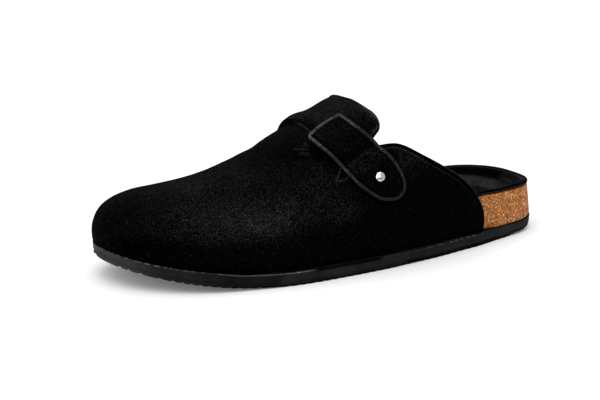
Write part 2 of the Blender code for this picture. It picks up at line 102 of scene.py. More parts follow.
def smoothCurve(xs, ys, x):
    x = np.asarray(x, float)
    step = np.diff(xs)
    slope = np.diff(ys) / step
    between = (slope[:-1] * step[1:] + slope[1:] * step[:-1]) / (step[1:] + step[:-1])
    lean = np.concatenate([slope[:1], between, slope[-1:]])
    i = np.clip(np.searchsorted(xs, x, side="right") - 1, 0, len(xs) - 2)
    t = np.clip((x - xs[i]) / step[i], 0.0, 1.0)
    near = ys[i] * (1 + 2 * t) * (1 - t) ** 2 + lean[i] * step[i] * t * (1 - t) ** 2
    far = ys[i + 1] * t * t * (3 - 2 * t) - lean[i + 1] * step[i] * t * t * (1 - t)
    return near + far


# every column of a table as a smooth curve over s from 0 to 1
def tableCurves(rows, s):
    values = np.array(rows, float)
    knots = np.linspace(0.0, 1.0, len(values))
    return [smoothCurve(knots, column, s) for column in values.T]


def section(name, x):
    rows = np.array(last["sections"], float)
    return smoothCurve(rows[:, 0], rows[:, last["columns"].index(name)], x)


def ease(u):
    u = np.clip(u, 0.0, 1.0)
    return u * u * (3.0 - 2.0 * u)


# soft steps: up from 0 after start, and down to 0 at end, each over a run
def fadeIn(u, start, run):
    return ease((u - start) / run)


def fadeOut(u, end, run):
    return ease((end - u) / run)


def hump(d, at, width):
    return np.exp(-((d - at) / width) ** 2)


def endCap(u, fullness):
    return (1.0 - np.clip(u, 0.0, 1.0) ** fullness) ** (1.0 / fullness)


def centreLine(x):
    run = np.clip((x - last["tipShiftFrom"]) / (last["length"] - last["tipShiftFrom"]), 0.0, 1.0)
    heel = np.clip((last["heelShiftTo"] - x) / last["heelShiftTo"], 0.0, 1.0)
    return last["tipShift"] * run ** 2 + last["heelShift"] * ease(heel * last["heelShiftPull"])


def planEnds(x):
    heel = endCap((last["heelReach"] - x) / last["heelReach"], last["heelFullness"])
    return heel * endCap((x - last["length"] + last["toeReach"]) / last["toeReach"], last["toeFullness"])


def sideEdge(x, side):
    wide = np.where(side > 0, section("lateral", x), section("medial", x))
    return centreLine(x) + side * wide * planEnds(x)


def toeSpring(x):
    ahead = (x - soleLevels["springFrom"]) / (last["length"] - soleLevels["springFrom"])
    return soleLevels["toeSpring"] * np.clip(ahead, 0.0, None) ** 2


def treadLevel(x):
    run = np.clip((x - soleLevels["waistFrom"]) / (soleLevels["waistTo"] - soleLevels["waistFrom"]), 0.0, 1.0)
    heel = np.clip((soleLevels["heelBevelTo"] - x) / soleLevels["heelBevelTo"], 0.0, 1.0)
    waist = soleLevels["waistRelief"] * np.sin(math.pi * run) ** 2
    return toeSpring(x) + waist + soleLevels["heelBevel"] * heel ** 2


def soleTop(x):
    ahead = np.clip((x - soleLevels["springFrom"]) / (last["length"] - soleLevels["springFrom"]), 0.0, None)
    heel = np.clip((soleLevels["heelRiseTo"] - x) / soleLevels["heelRiseTo"], 0.0, 1.0)
    level = soleLevels["height"] + toeSpring(x) - soleLevels["toeThin"] * ahead ** 1.5
    return level + soleLevels["heelRise"] * heel ** 2


# a place on the outer face of the upper: t is -1 at the lateral sole, 0 on the crest, 1 at the medial sole
def ribPoint(x, t):
    x, t = np.broadcast_arrays(np.asarray(x, float), np.asarray(t, float))
    side = np.where(t < 0, 1, -1)
    rise = (1.0 - np.abs(t)) * math.pi / 2
    middle = centreLine(x)
    foot = middle + (sideEdge(x, side) - middle) * (1.0 - last["footInset"] / last["footInsetOver"])
    crestY = middle + (section("crestY", x) - middle) * planEnds(x)
    power = 2.0 / section("fullness", x)
    base = soleTop(x) + soleLevels["gap"]
    toeBox = endCap((x - last["length"] + last["toeBoxReach"]) / last["toeBoxReach"], last["toeBoxFullness"])
    tall = (section("crestZ", x) - base) * toeBox
    y = crestY + (foot - crestY) * np.clip(np.cos(rise), 0.0, 1.0) ** power
    z = base + tall * np.clip(np.sin(rise), 0.0, 1.0) ** power
    swell = last["swell"] * np.sin(math.pi * np.clip((z - base) / last["swellHeight"], 0.0, 1.0))
    swell = swell * np.clip((x - last["swellFrom"]) / last["swellRun"], 0.0, 1.0)
    ahead = np.maximum(x - last["swellCentre"], 0.0)
    aside = y - middle
    reach = np.hypot(ahead, aside) + 1e-6
    return np.stack([x + swell * ahead / reach, y + swell * aside / reach, z], -1)


# small steps that measure the slope of the face, and how near the tip they may go
probe = {
    "x": 0.25,
    "t": 0.002,
    "tipGap": 0.6,
}


def faceTangents(x, t):
    x = np.minimum(x, last["length"] - probe["tipGap"])
    ahead = (ribPoint(x + probe["x"], t) - ribPoint(x - probe["x"], t)) / (2 * probe["x"])
    after, before = np.clip(t + probe["t"], -1, 1), np.clip(t - probe["t"], -1, 1)
    across = (ribPoint(x, after) - ribPoint(x, before)) / (2 * probe["t"])
    return ahead, across


def unit(vectors):
    return vectors / (np.linalg.norm(vectors, axis=-1, keepdims=True) + 1e-12)


def faceNormal(x, t):
    ahead, across = faceTangents(x, t)
    return unit(np.cross(across, ahead))


def lifted(x, t, lift):
    return ribPoint(x, t) + faceNormal(x, t) * np.asarray(lift, float)[..., None]


# closed plan outline from the back of the heel by the lateral side, moved inward by an inset
def planLoop(steps, inset=0.0):
    x = last["length"] / 2 * (1.0 - np.cos(np.linspace(0.0, math.pi, steps + 1)))
    lateral = np.stack([x, sideEdge(x, 1)], -1)
    medial = np.stack([x, sideEdge(x, -1)], -1)
    loop = np.concatenate([lateral, medial[-2:0:-1]])
    along = unit(unit(np.roll(loop, -1, axis=0) - loop) + unit(loop - np.roll(loop, 1, axis=0)))
    inward = np.stack([along[:, 1], -along[:, 0]], -1)
    return loop + inward * np.broadcast_to(inset, (len(loop),))[:, None]


def onPlan(plan, height):
    return np.column_stack([plan, np.broadcast_to(height, (len(plan),))])


soleLow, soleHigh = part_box("outsole")
wholeLoop = planLoop(600)
shoeShift = np.array([
    soleLow.x / mm - wholeLoop[:, 0].min(),
    (soleLow.y + soleHigh.y) / 2 / mm - (wholeLoop[:, 1].min() + wholeLoop[:, 1].max()) / 2,
    0.0,
])


def toWorld(points):
    return (np.asarray(points, float) + shoeShift) * mm


def closed(path):
    return np.concatenate([path, path[:1]])


# length of a line up to each of its points
def pathRun(path, weight=1.0):
    return np.concatenate([[0.0], np.cumsum(np.linalg.norm(np.diff(path, axis=0), axis=1) * weight)])


def alongPath(place, run, path):
    return np.stack([np.interp(place, run, path[:, k]) for k in range(3)], -1)


# distance of points to a line of points, and how far along the line, from 0 to 1, the nearest place is
def pathDistance(points, path, chunk=2000):
    shape = points.shape[:-1]
    points = points.reshape(-1, path.shape[1])
    start, leg = path[:-1], np.diff(path, axis=0)
    size = (leg ** 2).sum(1) + 1e-12
    run = np.concatenate([[0.0], np.cumsum(np.sqrt(size))])
    far, along = np.empty(len(points)), np.empty(len(points))
    for k in range(0, len(points), chunk):
        away = points[k:k + chunk, None, :] - start
        part = np.clip((away * leg).sum(-1) / size, 0.0, 1.0)
        gap = np.linalg.norm(away - part[..., None] * leg, axis=-1)
        best = gap.argmin(1)
        rows = np.arange(len(best))
        far[k:k + chunk] = gap[rows, best]
        along[k:k + chunk] = (run[best] + part[rows, best] * np.sqrt(size[best])) / run[-1]
    return far.reshape(shape), along.reshape(shape)


def nearLine(points, line, reach):
    return np.linalg.norm(points - line.mean(0), axis=-1) < reach


def roughness(points, size, seed):
    rough = [noise.noise(Vector(p) / size + Vector((seed, 0, 0))) for p in points.reshape(-1, 3)]
    return np.array(rough).reshape(points.shape[:-1])


# soft forms given one by one: width, depth (a trough is below 0), painted highlight (painted shade below 0),
# and the places (x, t) along it
creases = (
    (0.48, 0.50, 0.52, ((165.2, -0.202), (161.6, -0.244), (158.2, -0.290))),
    (0.50, -0.45, -0.10, ((164.6, -0.226), (161.9, -0.258), (159.0, -0.294))),
    (0.42, 0.40, 0.36, ((163.0, -0.259), (161.0, -0.283), (158.4, -0.314))),
    (0.45, 0.40, 0.42, ((164.6, -0.258), (161.5, -0.296), (158.7, -0.330))),
    (0.46, 0.40, 0.28, ((157.6, -0.196), (157.9, -0.230), (157.4, -0.268))),
    (0.42, 0.34, 0.20, ((160.8, -0.206), (159.4, -0.240), (158.2, -0.276))),
    (2.2, -0.60, -0.06, ((166.5, -0.230), (164.0, -0.290), (161.0, -0.345))),
    (4.0, -0.80, -0.06, ((158.0, -0.250), (157.0, -0.330), (155.0, -0.440))),
    (4.0, -0.45, -0.04, ((152.0, -0.640), (144.0, -0.720), (134.0, -0.800))),
    (7.0, -0.45, -0.03, ((186.0, 0.020), (183.0, -0.160), (184.0, -0.340), (189.0, -0.520))),
    (8.0, 0.35, 0.02, ((197.0, 0.100), (195.0, -0.100), (197.0, -0.330))),
    (5.0, -0.55, -0.04, ((176.0, 0.060), (173.0, 0.220), (172.0, 0.400), (174.0, 0.560))),
    (7.0, -0.40, -0.03, ((206.0, 0.150), (203.0, 0.330), (204.0, 0.520))),
    (7.0, -0.35, 0.0, ((104.0, -0.700), (98.0, -0.800), (95.0, -0.900))),
    (7.0, -0.40, 0.0, ((112.0, 0.680), (105.0, 0.780), (100.0, 0.880))),
)


def creaseForm(points, steps=24, reach=70.0, ends=4.0):
    lift, light = np.zeros(points.shape[:-1]), np.zeros(points.shape[:-1])
    for width, depth, shine, path in creases:
        line = ribPoint(*tableCurves(path, np.linspace(0.0, 1.0, steps)))
        near = nearLine(points, line, reach)
        far, along = pathDistance(points[near], line)
        share = hump(far, 0.0, width) * ease(along * ends) * ease((1.0 - along) * ends)
        lift[near] += depth * share
        light[near] += shine * share
    return lift, light


# painted sheen on the velvet where it faces the light, and painted shade where it turns away, as soft
# patches: x, t, reach in both, tone
sheenAndShadePatches = (
    (199.0, -0.63, 24.0, 0.12, 0.22),
    (214.0, -0.47, 20.0, 0.14, 0.11),
    (178.0, -0.68, 14.0, 0.10, 0.10),
    (222.0, -0.10, 20.0, 0.16, 0.12),
    (190.0, -0.25, 18.0, 0.14, 0.03),
    (264.0, -0.40, 14.0, 0.45, -0.08),
    (245.0, -0.72, 14.0, 0.14, -0.02),
    (167.0, -0.17, 12.0, 0.20, -0.075),
    (150.0, -0.77, 12.0, 0.07, 0.12),
    (106.0, -0.66, 13.0, 0.035, 0.12),
    (205.0, 0.55, 28.0, 0.20, 0.12),
    (226.0, 0.25, 26.0, 0.20, 0.06),
)

# base tone of the velvet, with a painted shade low on its sides towards the sole
napBase = {
    "tone": 0.115,
    "lowShade": 0.085,
    "lowFrom": 0.62,
    "lowRun": 0.22,
}


def velvetToneAndLight(x, t):
    tone = napBase["tone"] - napBase["lowShade"] * fadeIn(np.abs(t), napBase["lowFrom"], napBase["lowRun"])
    for atX, atT, reachX, reachT, light in sheenAndShadePatches:
        tone = tone + light * np.exp(-(((x - atX) / reachX) ** 2 + ((t - atT) / reachT) ** 2))
    return np.clip(tone, 0.0, 1.0)


# a new material: itself, its nodes, its shader and the coordinates of the piece
def newMaterial(name):
    material = bpy.data.materials.new(name)
    material.use_nodes = True
    tree = material.node_tree
    coords = addNode(tree, "ShaderNodeTexCoord").outputs["Object"]
    return material, tree, tree.nodes["Principled BSDF"], coords


def addNode(tree, kind, values=None, **settings):
    made = tree.nodes.new(kind)
    for key, value in settings.items():
        setattr(made, key, value)
    setValues(tree, made, values or {})
    return made


# a value that is another node's output becomes a link
def setValues(tree, made, values):
    for key, value in values.items():
        if isinstance(value, bpy.types.NodeSocket):
            tree.links.new(value, made.inputs[key])
        else:
            made.inputs[key].default_value = value


def addMath(tree, operation, *values, clamp=False):
    made = addNode(tree, "ShaderNodeMath", dict(enumerate(values)), operation=operation, use_clamp=clamp)
    return made.outputs[0]


def addScaled(tree, value, by, plus, clamp=False):
    return addMath(tree, "MULTIPLY_ADD", value, by, plus, clamp=clamp)


def addAttribute(tree, name):
    return addNode(tree, "ShaderNodeAttribute", attribute_name=name).outputs["Fac"]


def addNoise(tree, coords, scale, detail=2.0, rough=0.5):
    values = {"Vector": coords, "Scale": scale, "Detail": detail, "Roughness": rough}
    return addNode(tree, "ShaderNodeTexNoise", values).outputs["Fac"]


# noise that swings about 0
def addSpread(tree, coords, scale, detail=2.0, rough=0.6):
    return addMath(tree, "SUBTRACT", addNoise(tree, coords, scale, detail, rough), 0.5)


def addWave(tree, coords, values):
    made = addNode(tree, "ShaderNodeTexWave", {"Vector": coords, **values}, bands_direction="DIAGONAL")
    return made.outputs["Fac"]


def addMapping(tree, coords, scale):
    return addNode(tree, "ShaderNodeMapping", {"Vector": coords, "Scale": scale}).outputs["Vector"]


def addRange(tree, value, fromLow, fromHigh, toLow, toHigh):
    values = {"Value": value, "From Min": fromLow, "From Max": fromHigh, "To Min": toLow, "To Max": toHigh}
    return addNode(tree, "ShaderNodeMapRange", values).outputs["Result"]


def addMix(tree, factor, first, second, blend="MIX"):
    values = {"Fac": factor, "Color1": first, "Color2": second}
    return addNode(tree, "ShaderNodeMixRGB", values, blend_type=blend).outputs["Color"]


def addRed(tree, colour):
    return addNode(tree, "ShaderNodeSeparateColor", {"Color": colour}).outputs["Red"]


# small round dots in some cells of a cell pattern
def addDots(tree, coords, scale, size, cellsFrom):
    cells = addNode(tree, "ShaderNodeTexVoronoi", {"Vector": coords, "Scale": scale})
    dot = addMath(tree, "LESS_THAN", cells.outputs["Distance"], size)
    picked = addMath(tree, "GREATER_THAN", addRed(tree, cells.outputs["Color"]), cellsFrom)
    return addMath(tree, "MULTIPLY", dot, picked)


def addRamp(tree, factor, stops):
    made = addNode(tree, "ShaderNodeValToRGB", {"Fac": factor})
    ramp = made.color_ramp
    while len(ramp.elements) < len(stops):
        ramp.elements.new(0.5)
    for element, (place, colour) in zip(ramp.elements, stops):
        element.position = place
        element.color = (*colour, 1.0)
    return made.outputs["Color"]


# linear value of a tone as the picture shows it
def shown(tone):
    return tone / 12.92 if tone <= 0.04045 else ((tone + 0.055) / 1.055) ** 2.4


# ramp of such tones from dark to light, all in one tint
def addTones(tree, factor, dark, light, tint):
    steps = [(k / 7, shown(dark + (light - dark) * k / 7)) for k in range(8)]
    return addRamp(tree, factor, [(place, tuple(tone * part for part in tint)) for place, tone in steps])


# a look's fixed values, its colour and its bump go on the shader
def finishLook(tree, shader, look, colour, height):
    strength, distance = look["bump"]
    bump = addNode(tree, "ShaderNodeBump", {"Height": height, "Strength": strength, "Distance": distance})
    setValues(tree, shader, {**look["surface"], "Base Color": colour, "Normal": bump.outputs["Normal"]})


velvetLook = {
    "tones": (0.0, 0.205, (1.0, 0.985, 1.10)),
    "grainScale": 1250.0,
    "grainDepth": 13.0,
    "grainUpTo": 0.155,
    "grainFloor": 0.12,
    "tuftScale": 200.0,
    "tuftDepth": 1.2,
    "patchScale": 38.0,
    "patchDepth": 1.4,
    "lint": (480.0, 0.16, 0.80),
    "lintTone": 0.42,
    "lintByNap": 1.2,
    "bump": (0.5, 0.0005),
    "surface": {
        "Roughness": 0.9,
        "Specular IOR Level": 0.004,
        "Sheen Weight": 0.0025,
        "Sheen Roughness": 0.5,
        "Sheen Tint": (0.85, 0.88, 1.0, 1.0),
    },
}


def makeVelvet(name):
    look = velvetLook
    material, tree, shader, coords = newMaterial(name)
    # tone of the cloth with its painted sheen, painted highlights and painted shade
    toneAndLight = addAttribute(tree, "toneAndLight")
    grain = addSpread(tree, coords, look["grainScale"])
    tuft = addSpread(tree, coords, look["tuftScale"])
    patch = addSpread(tree, coords, look["patchScale"], 3.0)
    slow = addScaled(tree, patch, look["patchDepth"], 1.0)
    slow = addScaled(tree, tuft, look["tuftDepth"], slow)
    swing = addMath(tree, "MINIMUM", toneAndLight, look["grainUpTo"])
    swing = addScaled(tree, swing, look["grainDepth"], look["grainFloor"])
    tone = addScaled(tree, grain, swing, addMath(tree, "MULTIPLY", toneAndLight, slow))
    lint = addDots(tree, coords, *look["lint"])
    bright = addScaled(tree, toneAndLight, look["lintByNap"], look["lintTone"])
    tone = addScaled(tree, lint, bright, tone, clamp=True)
    colour = addTones(tree, tone, *look["tones"])
    finishLook(tree, shader, look, colour, addMath(tree, "ADD", grain, tuft))
    return material


liningLook = {
    "tones": (0.03, 0.13, (1.0, 1.0, 1.05)),
    "weave": {"Scale": 520.0, "Distortion": 1.2, "Detail": 1.0},
    "weaveShare": 0.3,
    "cloudScale": 60.0,
    "cloudShare": 0.7,
    "bump": (0.35, 0.0003),
    "surface": {"Roughness": 0.85, "Specular IOR Level": 0.05},
}


def makeLining(name):
    look = liningLook
    material, tree, shader, coords = newMaterial(name)
    weave = addWave(tree, coords, look["weave"])
    cloud = addMath(tree, "MULTIPLY", addNoise(tree, coords, look["cloudScale"], 3.0), look["cloudShare"])
    tone = addScaled(tree, weave, look["weaveShare"], cloud)
    finishLook(tree, shader, look, addTones(tree, tone, *look["tones"]), weave)
    return material


suedeLook = {
    "tones": (0.0, 0.32, (1.0, 0.98, 1.08)),
    "fineScale": 800.0,
    "fineDepth": 1.3,
    "fineFloor": 0.06,
    "cloudScale": 60.0,
    "cloudDepth": 1.4,
    "bump": (0.4, 0.0003),
    "surface": {"Roughness": 0.7, "Specular IOR Level": 0.008},
}


def makeSuede(name):
    look = suedeLook
    material, tree, shader, coords = newMaterial(name)
    # tone of the suede with its painted sheen and painted highlights
    toneAndLight = addAttribute(tree, "toneAndLight")
    fine = addSpread(tree, coords, look["fineScale"], 3.0)
    cloud = addSpread(tree, coords, look["cloudScale"], 4.0)
    slow = addScaled(tree, cloud, look["cloudDepth"], addScaled(tree, fine, look["fineDepth"], 1.0))
    tone = addScaled(tree, fine, look["fineFloor"], addMath(tree, "MULTIPLY", toneAndLight, slow), clamp=True)
    finishLook(tree, shader, look, addTones(tree, tone, *look["tones"]), fine)
    return material


corkLook = {
    "wobble": {"Scale": 700.0, "Detail": 2.0},
    "bend": 0.0017,
    "cells": (1450.0, 1450.0, 1550.0),
    "grains": (
        (0.0, (0.105, 0.025, 0.005)),
        (0.25, (0.270, 0.090, 0.022)),
        (0.7, (0.390, 0.146, 0.040)),
        (1.0, (0.700, 0.370, 0.135)),
    ),
    "fleckScale": 1600.0,
    "flecks": ((0.30, (0.45, 0.38, 0.33)), (0.47, (1.0, 1.0, 1.0))),
    "fleckShare": 0.85,
    "cloudScale": 110.0,
    "clouds": ((0.3, (0.80, 0.76, 0.72)), (0.7, (1.0, 1.0, 1.0))),
    "spots": (430.0, 0.22, 0.72),
    "spotShare": 0.7,
    "spotColour": (0.93, 0.58, 0.31, 1.0),
    "bump": (0.45, 0.0003),
    "surface": {"Roughness": 0.62, "Specular IOR Level": 0.08},
}


def makeCork(name):
    look = corkLook
    material, tree, shader, coords = newMaterial(name)
    wobble = addNode(tree, "ShaderNodeTexNoise", {"Vector": coords, **look["wobble"]}).outputs["Color"]
    bend = addMix(tree, look["bend"], coords, wobble, "ADD")
    flat = addMapping(tree, bend, look["cells"])
    cells = addNode(tree, "ShaderNodeTexVoronoi", {"Vector": flat, "Scale": 1.0})
    colour = addRamp(tree, addRed(tree, cells.outputs["Color"]), look["grains"])
    fleck = addNoise(tree, coords, look["fleckScale"], 3.0, 0.6)
    cloud = addNoise(tree, coords, look["cloudScale"], 3.0, 0.6)
    colour = addMix(tree, look["fleckShare"], colour, addRamp(tree, fleck, look["flecks"]), "MULTIPLY")
    colour = addMix(tree, 1.0, colour, addRamp(tree, cloud, look["clouds"]), "MULTIPLY")
    spot = addMath(tree, "MULTIPLY", addDots(tree, coords, *look["spots"]), look["spotShare"])
    colour = addMix(tree, spot, colour, look["spotColour"])
    colour = addMix(tree, 1.0, colour, addAttribute(tree, "shade"), "MULTIPLY")
    finishLook(tree, shader, look, colour, addMath(tree, "ADD", cells.outputs["Distance"], fleck))
    return material


rubberLook = {
    "tones": (0.01, 0.48, (1.0, 1.0, 1.03)),
    "tone": 0.18,
    "fineScale": 1100.0,
    "fineDepth": 0.17,
    "cloudScale": 70.0,
    "cloudDepth": 0.26,
    "gloss": (0.42, 0.62),
    "bump": (0.25, 0.0002),
    "surface": {"Specular IOR Level": 0.012},
}


def makeRubber(name):
    look = rubberLook
    material, tree, shader, coords = newMaterial(name)
    # the outsole's painted highlights and painted shade, with its tone along the shoe
    toneShineAndShade = addAttribute(tree, "toneShineAndShade")
    fine = addSpread(tree, coords, look["fineScale"])
    cloud = addSpread(tree, coords, look["cloudScale"], 4.0)
    tone = addScaled(tree, cloud, look["cloudDepth"], addScaled(tree, fine, look["fineDepth"], look["tone"]))
    tone = addMath(tree, "ADD", tone, toneShineAndShade, clamp=True)
    finishLook(tree, shader, look, addTones(tree, tone, *look["tones"]), fine)
    setValues(tree, shader, {"Roughness": addRange(tree, cloud, -0.5, 0.5, *look["gloss"])})
    return material


pipingLook = {
    "tones": (0.004, 0.252, (1.0, 1.0, 1.03)),
    "ribPitch": 0.9,
    "ribTone": 0.10,
    "ribHeight": 0.35,
    "fineScale": 650.0,
    "fineDepth": 3.6,
    "cloudScale": 140.0,
    "cloudDepth": 1.4,
    "bump": (0.35, 0.0002),
    "surface": {"Roughness": 0.5, "Specular IOR Level": 0.06},
}


def makePipingCloth(name):
    look = pipingLook
    material, tree, shader, coords = newMaterial(name)
    # tone of the cord with its painted light and shade
    toneAndLight = addAttribute(tree, "toneAndLight")
    turn = addMath(tree, "MULTIPLY", addAttribute(tree, "run"), 2 * math.pi / look["ribPitch"])
    ribs = addMath(tree, "SINE", turn)
    fine = addSpread(tree, coords, look["fineScale"])
    cloud = addSpread(tree, coords, look["cloudScale"], 3.0)
    slow = addScaled(tree, cloud, look["cloudDepth"], addScaled(tree, fine, look["fineDepth"], 1.0))
    slow = addScaled(tree, ribs, look["ribTone"], slow)
    colour = addTones(tree, addMath(tree, "MULTIPLY", toneAndLight, slow, clamp=True), *look["tones"])
    finishLook(tree, shader, look, colour, addScaled(tree, ribs, look["ribHeight"], fine))
    return material


metalLook = {
    "scratches": (900.0, 900.0, 5200.0),
    "cloudScale": 420.0,
    "plate": ((0.3, (0.86, 0.86, 0.85)), (0.7, (0.97, 0.97, 0.96))),
    "gloss": (0.16, 0.34),
    "bump": (0.12, 0.0001),
    "surface": {"Metallic": 1.0},
}


def makeMetal(name):
    look = metalLook
    material, tree, shader, coords = newMaterial(name)
    scratch = addNoise(tree, addMapping(tree, coords, look["scratches"]), 1.0, 3.0)
    cloud = addNoise(tree, coords, look["cloudScale"], 3.0, 0.6)
    plate = addRamp(tree, cloud, look["plate"])
    colour = addMix(tree, 1.0, plate, addAttribute(tree, "shade"), "MULTIPLY")
    finishLook(tree, shader, look, colour, scratch)
    setValues(tree, shader, {"Roughness": addRange(tree, cloud, 0.0, 1.0, *look["gloss"])})
    return material


threadLook = {
    "tones": (0.03, 0.19, (1.0, 1.0, 1.04)),
    "twist": {"Scale": 900.0, "Distortion": 2.0},
    "bump": (0.3, 0.0001),
    "surface": {"Roughness": 0.6, "Specular IOR Level": 0.05},
}


def makeThread(name):
    look = threadLook
    material, tree, shader, coords = newMaterial(name)
    twist = addWave(tree, coords, look["twist"])
    finishLook(tree, shader, look, addTones(tree, twist, *look["tones"]), twist)
    return material


velvet = makeVelvet("black velvet")
lining = makeLining("dark lining")
suede = makeSuede("footbed lining")
cork = makeCork("pressed cork")
rubber = makeRubber("outsole rubber")
pipingCloth = makePipingCloth("grey piping")
rivetMetal = makeMetal("rivet metal")
thread = makeThread("sewing thread")
print("materials made")


# corners nearer than this are one corner
mergeGap = 2e-6


# flat grid with the column and row of each corner
def flatGrid(cols, rows):
    bm = bmesh.new()
    bmesh.ops.create_grid(bm, x_segments=cols, y_segments=rows, size=1.0)
    flat = np.array([vert.co[:2] for vert in bm.verts])
    low, high = flat.min(0), flat.max(0)
    col, row = np.rint((flat - low) / (high - low) * (cols, rows)).astype(int).T
    return bm, col, row


def layOut(bm, places):
    for vert, place in zip(bm.verts, toWorld(places)):
        vert.co = place


def paint(bm, name, tones):
    layer = bm.verts.layers.float.new(name)
    for vert, tone in zip(bm.verts, tones):
        vert[layer] = tone


def borderEdges(bm):
    return [edge for edge in bm.edges if edge.is_boundary]


def mergeDoubles(bm, gap=mergeGap):
    bmesh.ops.remove_doubles(bm, verts=bm.verts, dist=gap)


def closeUp(bm):
    mergeDoubles(bm)
    bmesh.ops.dissolve_degenerate(bm, edges=bm.edges, dist=1e-7)
    bmesh.ops.recalc_face_normals(bm, faces=bm.faces)


# the last opening of a piece, closed with a face of its own
def fillHole(bm, edges):
    bmesh.ops.holes_fill(bm, edges=edges, sides=0)
    bmesh.ops.triangulate(bm, faces=[face for face in bm.faces if len(face.verts) > 4])
    bmesh.ops.recalc_face_normals(bm, faces=bm.faces)


# places of the corners in the shoe's millimetres
def shoePlaces(bm):
    return np.array([vert.co for vert in bm.verts]) / mm - shoeShift


def finishPiece(name, bm, finishes, nodes=()):
    mesh = bpy.data.meshes.new(name)
    bm.to_mesh(mesh)
    bm.free()
    for finish in finishes:
        mesh.materials.append(finish)
    mesh.shade_smooth()
    piece = bpy.data.objects.new(name, mesh)
    scene.collection.objects.link(piece)
    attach(piece, "root")
    if nodes:
        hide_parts(*nodes)
    print(name, len(mesh.vertices), "corners")
    return piece


# second skin under a sheet, meeting it all round its border
def underSkin(bm, places):
    for corner in [vert for vert in bm.verts if len(vert.link_edges) == 2]:
        beside = [edge.other_vert(corner) for edge in corner.link_edges]
        across = [vert for vert in corner.link_faces[0].verts if vert not in (corner, *beside)]
        bmesh.ops.connect_verts(bm, verts=[corner, *across])
    made = bmesh.ops.duplicate(bm, geom=bm.verts[:] + bm.edges[:] + bm.faces[:])
    skin = [made["vert_map"][vert] for vert in bm.verts[:len(places)]]
    for vert, place in zip(skin, toWorld(places)):
        vert.co = place


# instep band: padded, with a rolled edge and a sewn dip behind it
band = {
    "thick": 3.4,
    "sideThick": 2.2,
    "fullBy": 0.2,
    "frontThin": 1.0,
    "frontOver": (126.0, 25.0),
    "frontThinOver": (-0.2, 0.25),
    "bow": 0.4,
    "bowLean": 1.5,
    "bowFade": 6,
    "across": 150,
    "along": 64,
    "edgeRound": 1.15,
    "seamAt": 2.9,
    "seamDip": 0.5,
    "seamWidth": 0.6,
    "frontReach": 1.7,
    "frontReachOver": (-0.38, 0.2),
    "lift": 0.15,
    "fluff": 0.15,
    "bead": 0.15,
    "backBead": 0.35,
    "sideBead": 0.75,
    "frontRound": 1.3,
    "frontFlat": 0.35,
    "backFull": 0.6,
    "ridge": 0.9,
    "sag": 1.8,
    "uneven": 0.16,
    "crowdAcross": (0.05, 0.20),
    "crowdAlong": (0.15, 0.34),
    "borderSteps": 160,
    "tone": 0.26,
    "sideShade": 0.14,
    "medialShade": 0.12,
    "frontShadeDepth": 0.8,
    "frontShade": 11.0,
    "length": 29.0,
    "rearHighlight": 0.55,
    "foreHighlight": 0.5,
    "earLess": 0.04,
    # front x and t, back x and t, from the lateral end to the medial one
    "rows": (
        (153.8, -0.592, 125.2, -0.434),
        (151.0, -0.562, 120.4, -0.408),
        (148.2, -0.520, 118.6, -0.366),
        (147.6, -0.450, 118.9, -0.301),
        (149.4, -0.330, 121.0, -0.215),
        (151.0, -0.180, 122.3, -0.110),
        (150.8, -0.040, 122.6, 0.000),
        (151.4, 0.080, 122.2, 0.100),
        (151.6, 0.200, 121.0, 0.220),
        (151.2, 0.380, 119.5, 0.380),
        (150.2, 0.560, 118.5, 0.550),
        (149.0, 0.720, 118.5, 0.700),
    ),
}


def bandBow(run):
    return band["bow"] * run * (1.0 - run) ** band["bowLean"]


def bandPlace(s, run):
    frontX, frontT, backX, backT = tableCurves(band["rows"], s)
    frontX = frontX + band["frontReach"] * fadeIn(frontT, *band["frontReachOver"])
    bow = bandBow(run) * (1.0 - s) ** band["bowFade"]
    return frontX + (backX - frontX) * run, frontT + (backT - frontT) * run - bow


def bandEdge(x):
    frontX, frontT, backX, backT = band["rows"][0]
    run = np.clip((frontX - x) / (frontX - backX), 0.0, 1.0)
    return frontT + (backT - frontT) * run - bandBow(run)


def bandThick(x, t):
    thin = band["frontThin"] * fadeIn(x, *band["frontOver"]) * fadeIn(t, *band["frontThinOver"])
    full = fadeIn(t, bandEdge(x), band["fullBy"])
    return band["sideThick"] + (band["thick"] - thin - band["sideThick"]) * full


# closer steps near both ends of a run from 0 to 1
def crowded(count, zone, share):
    u = np.linspace(0.0, 1.0, count + 1)
    near = np.minimum(u, 1.0 - u)
    inner = zone + (near - share) / (0.5 - share) * (0.5 - zone)
    shift = np.where(near < share, near / share * zone, inner)
    return np.where(u < 0.5, shift, 1.0 - shift)


def bandBorder():
    k = np.linspace(0.0, 1.0, band["borderSteps"])
    start, end = np.zeros(len(k)), np.ones(len(k))
    sides = bandPlace(k, start), bandPlace(end, k), bandPlace(k[::-1], end), bandPlace(start, k[::-1])
    x, t = (np.concatenate([side[i] for side in sides]) for i in (0, 1))
    return ribPoint(x, t)


# strap: square end on the band, round end riveted on the quarter
strap = {
    "thick": 1.8,
    "drop": 0.17,
    "edgeGap": 0.004,
    "along": 110,
    "across": 34,
    "crown": 0.30,
    "crowdAcross": (0.16, 0.28),
    "margin": 0.015,
    "fold": ((145.6, -0.536), (138.5, -0.526), (131.0, -0.508), (124.5, -0.492)),
    "foldDepth": 0.45,
    "foldWidth": 2.2,
    "uneven": 0.10,
    "tone": 0.07,
    # front x and t, back x and t, from the square end to the round one
    "rows": (
        (155.7, -0.246, 136.0, -0.197),
        (153.8, -0.346, 133.2, -0.315),
        (150.6, -0.454, 129.0, -0.418),
        (146.7, -0.557, 124.9, -0.512),
        (141.7, -0.654, 119.7, -0.587),
        (136.0, -0.717, 115.4, -0.672),
        (131.6, -0.763, 112.5, -0.752),
        (127.4, -0.795, 112.8, -0.796),
        (123.6, -0.808, 116.9, -0.820),
    ),
}


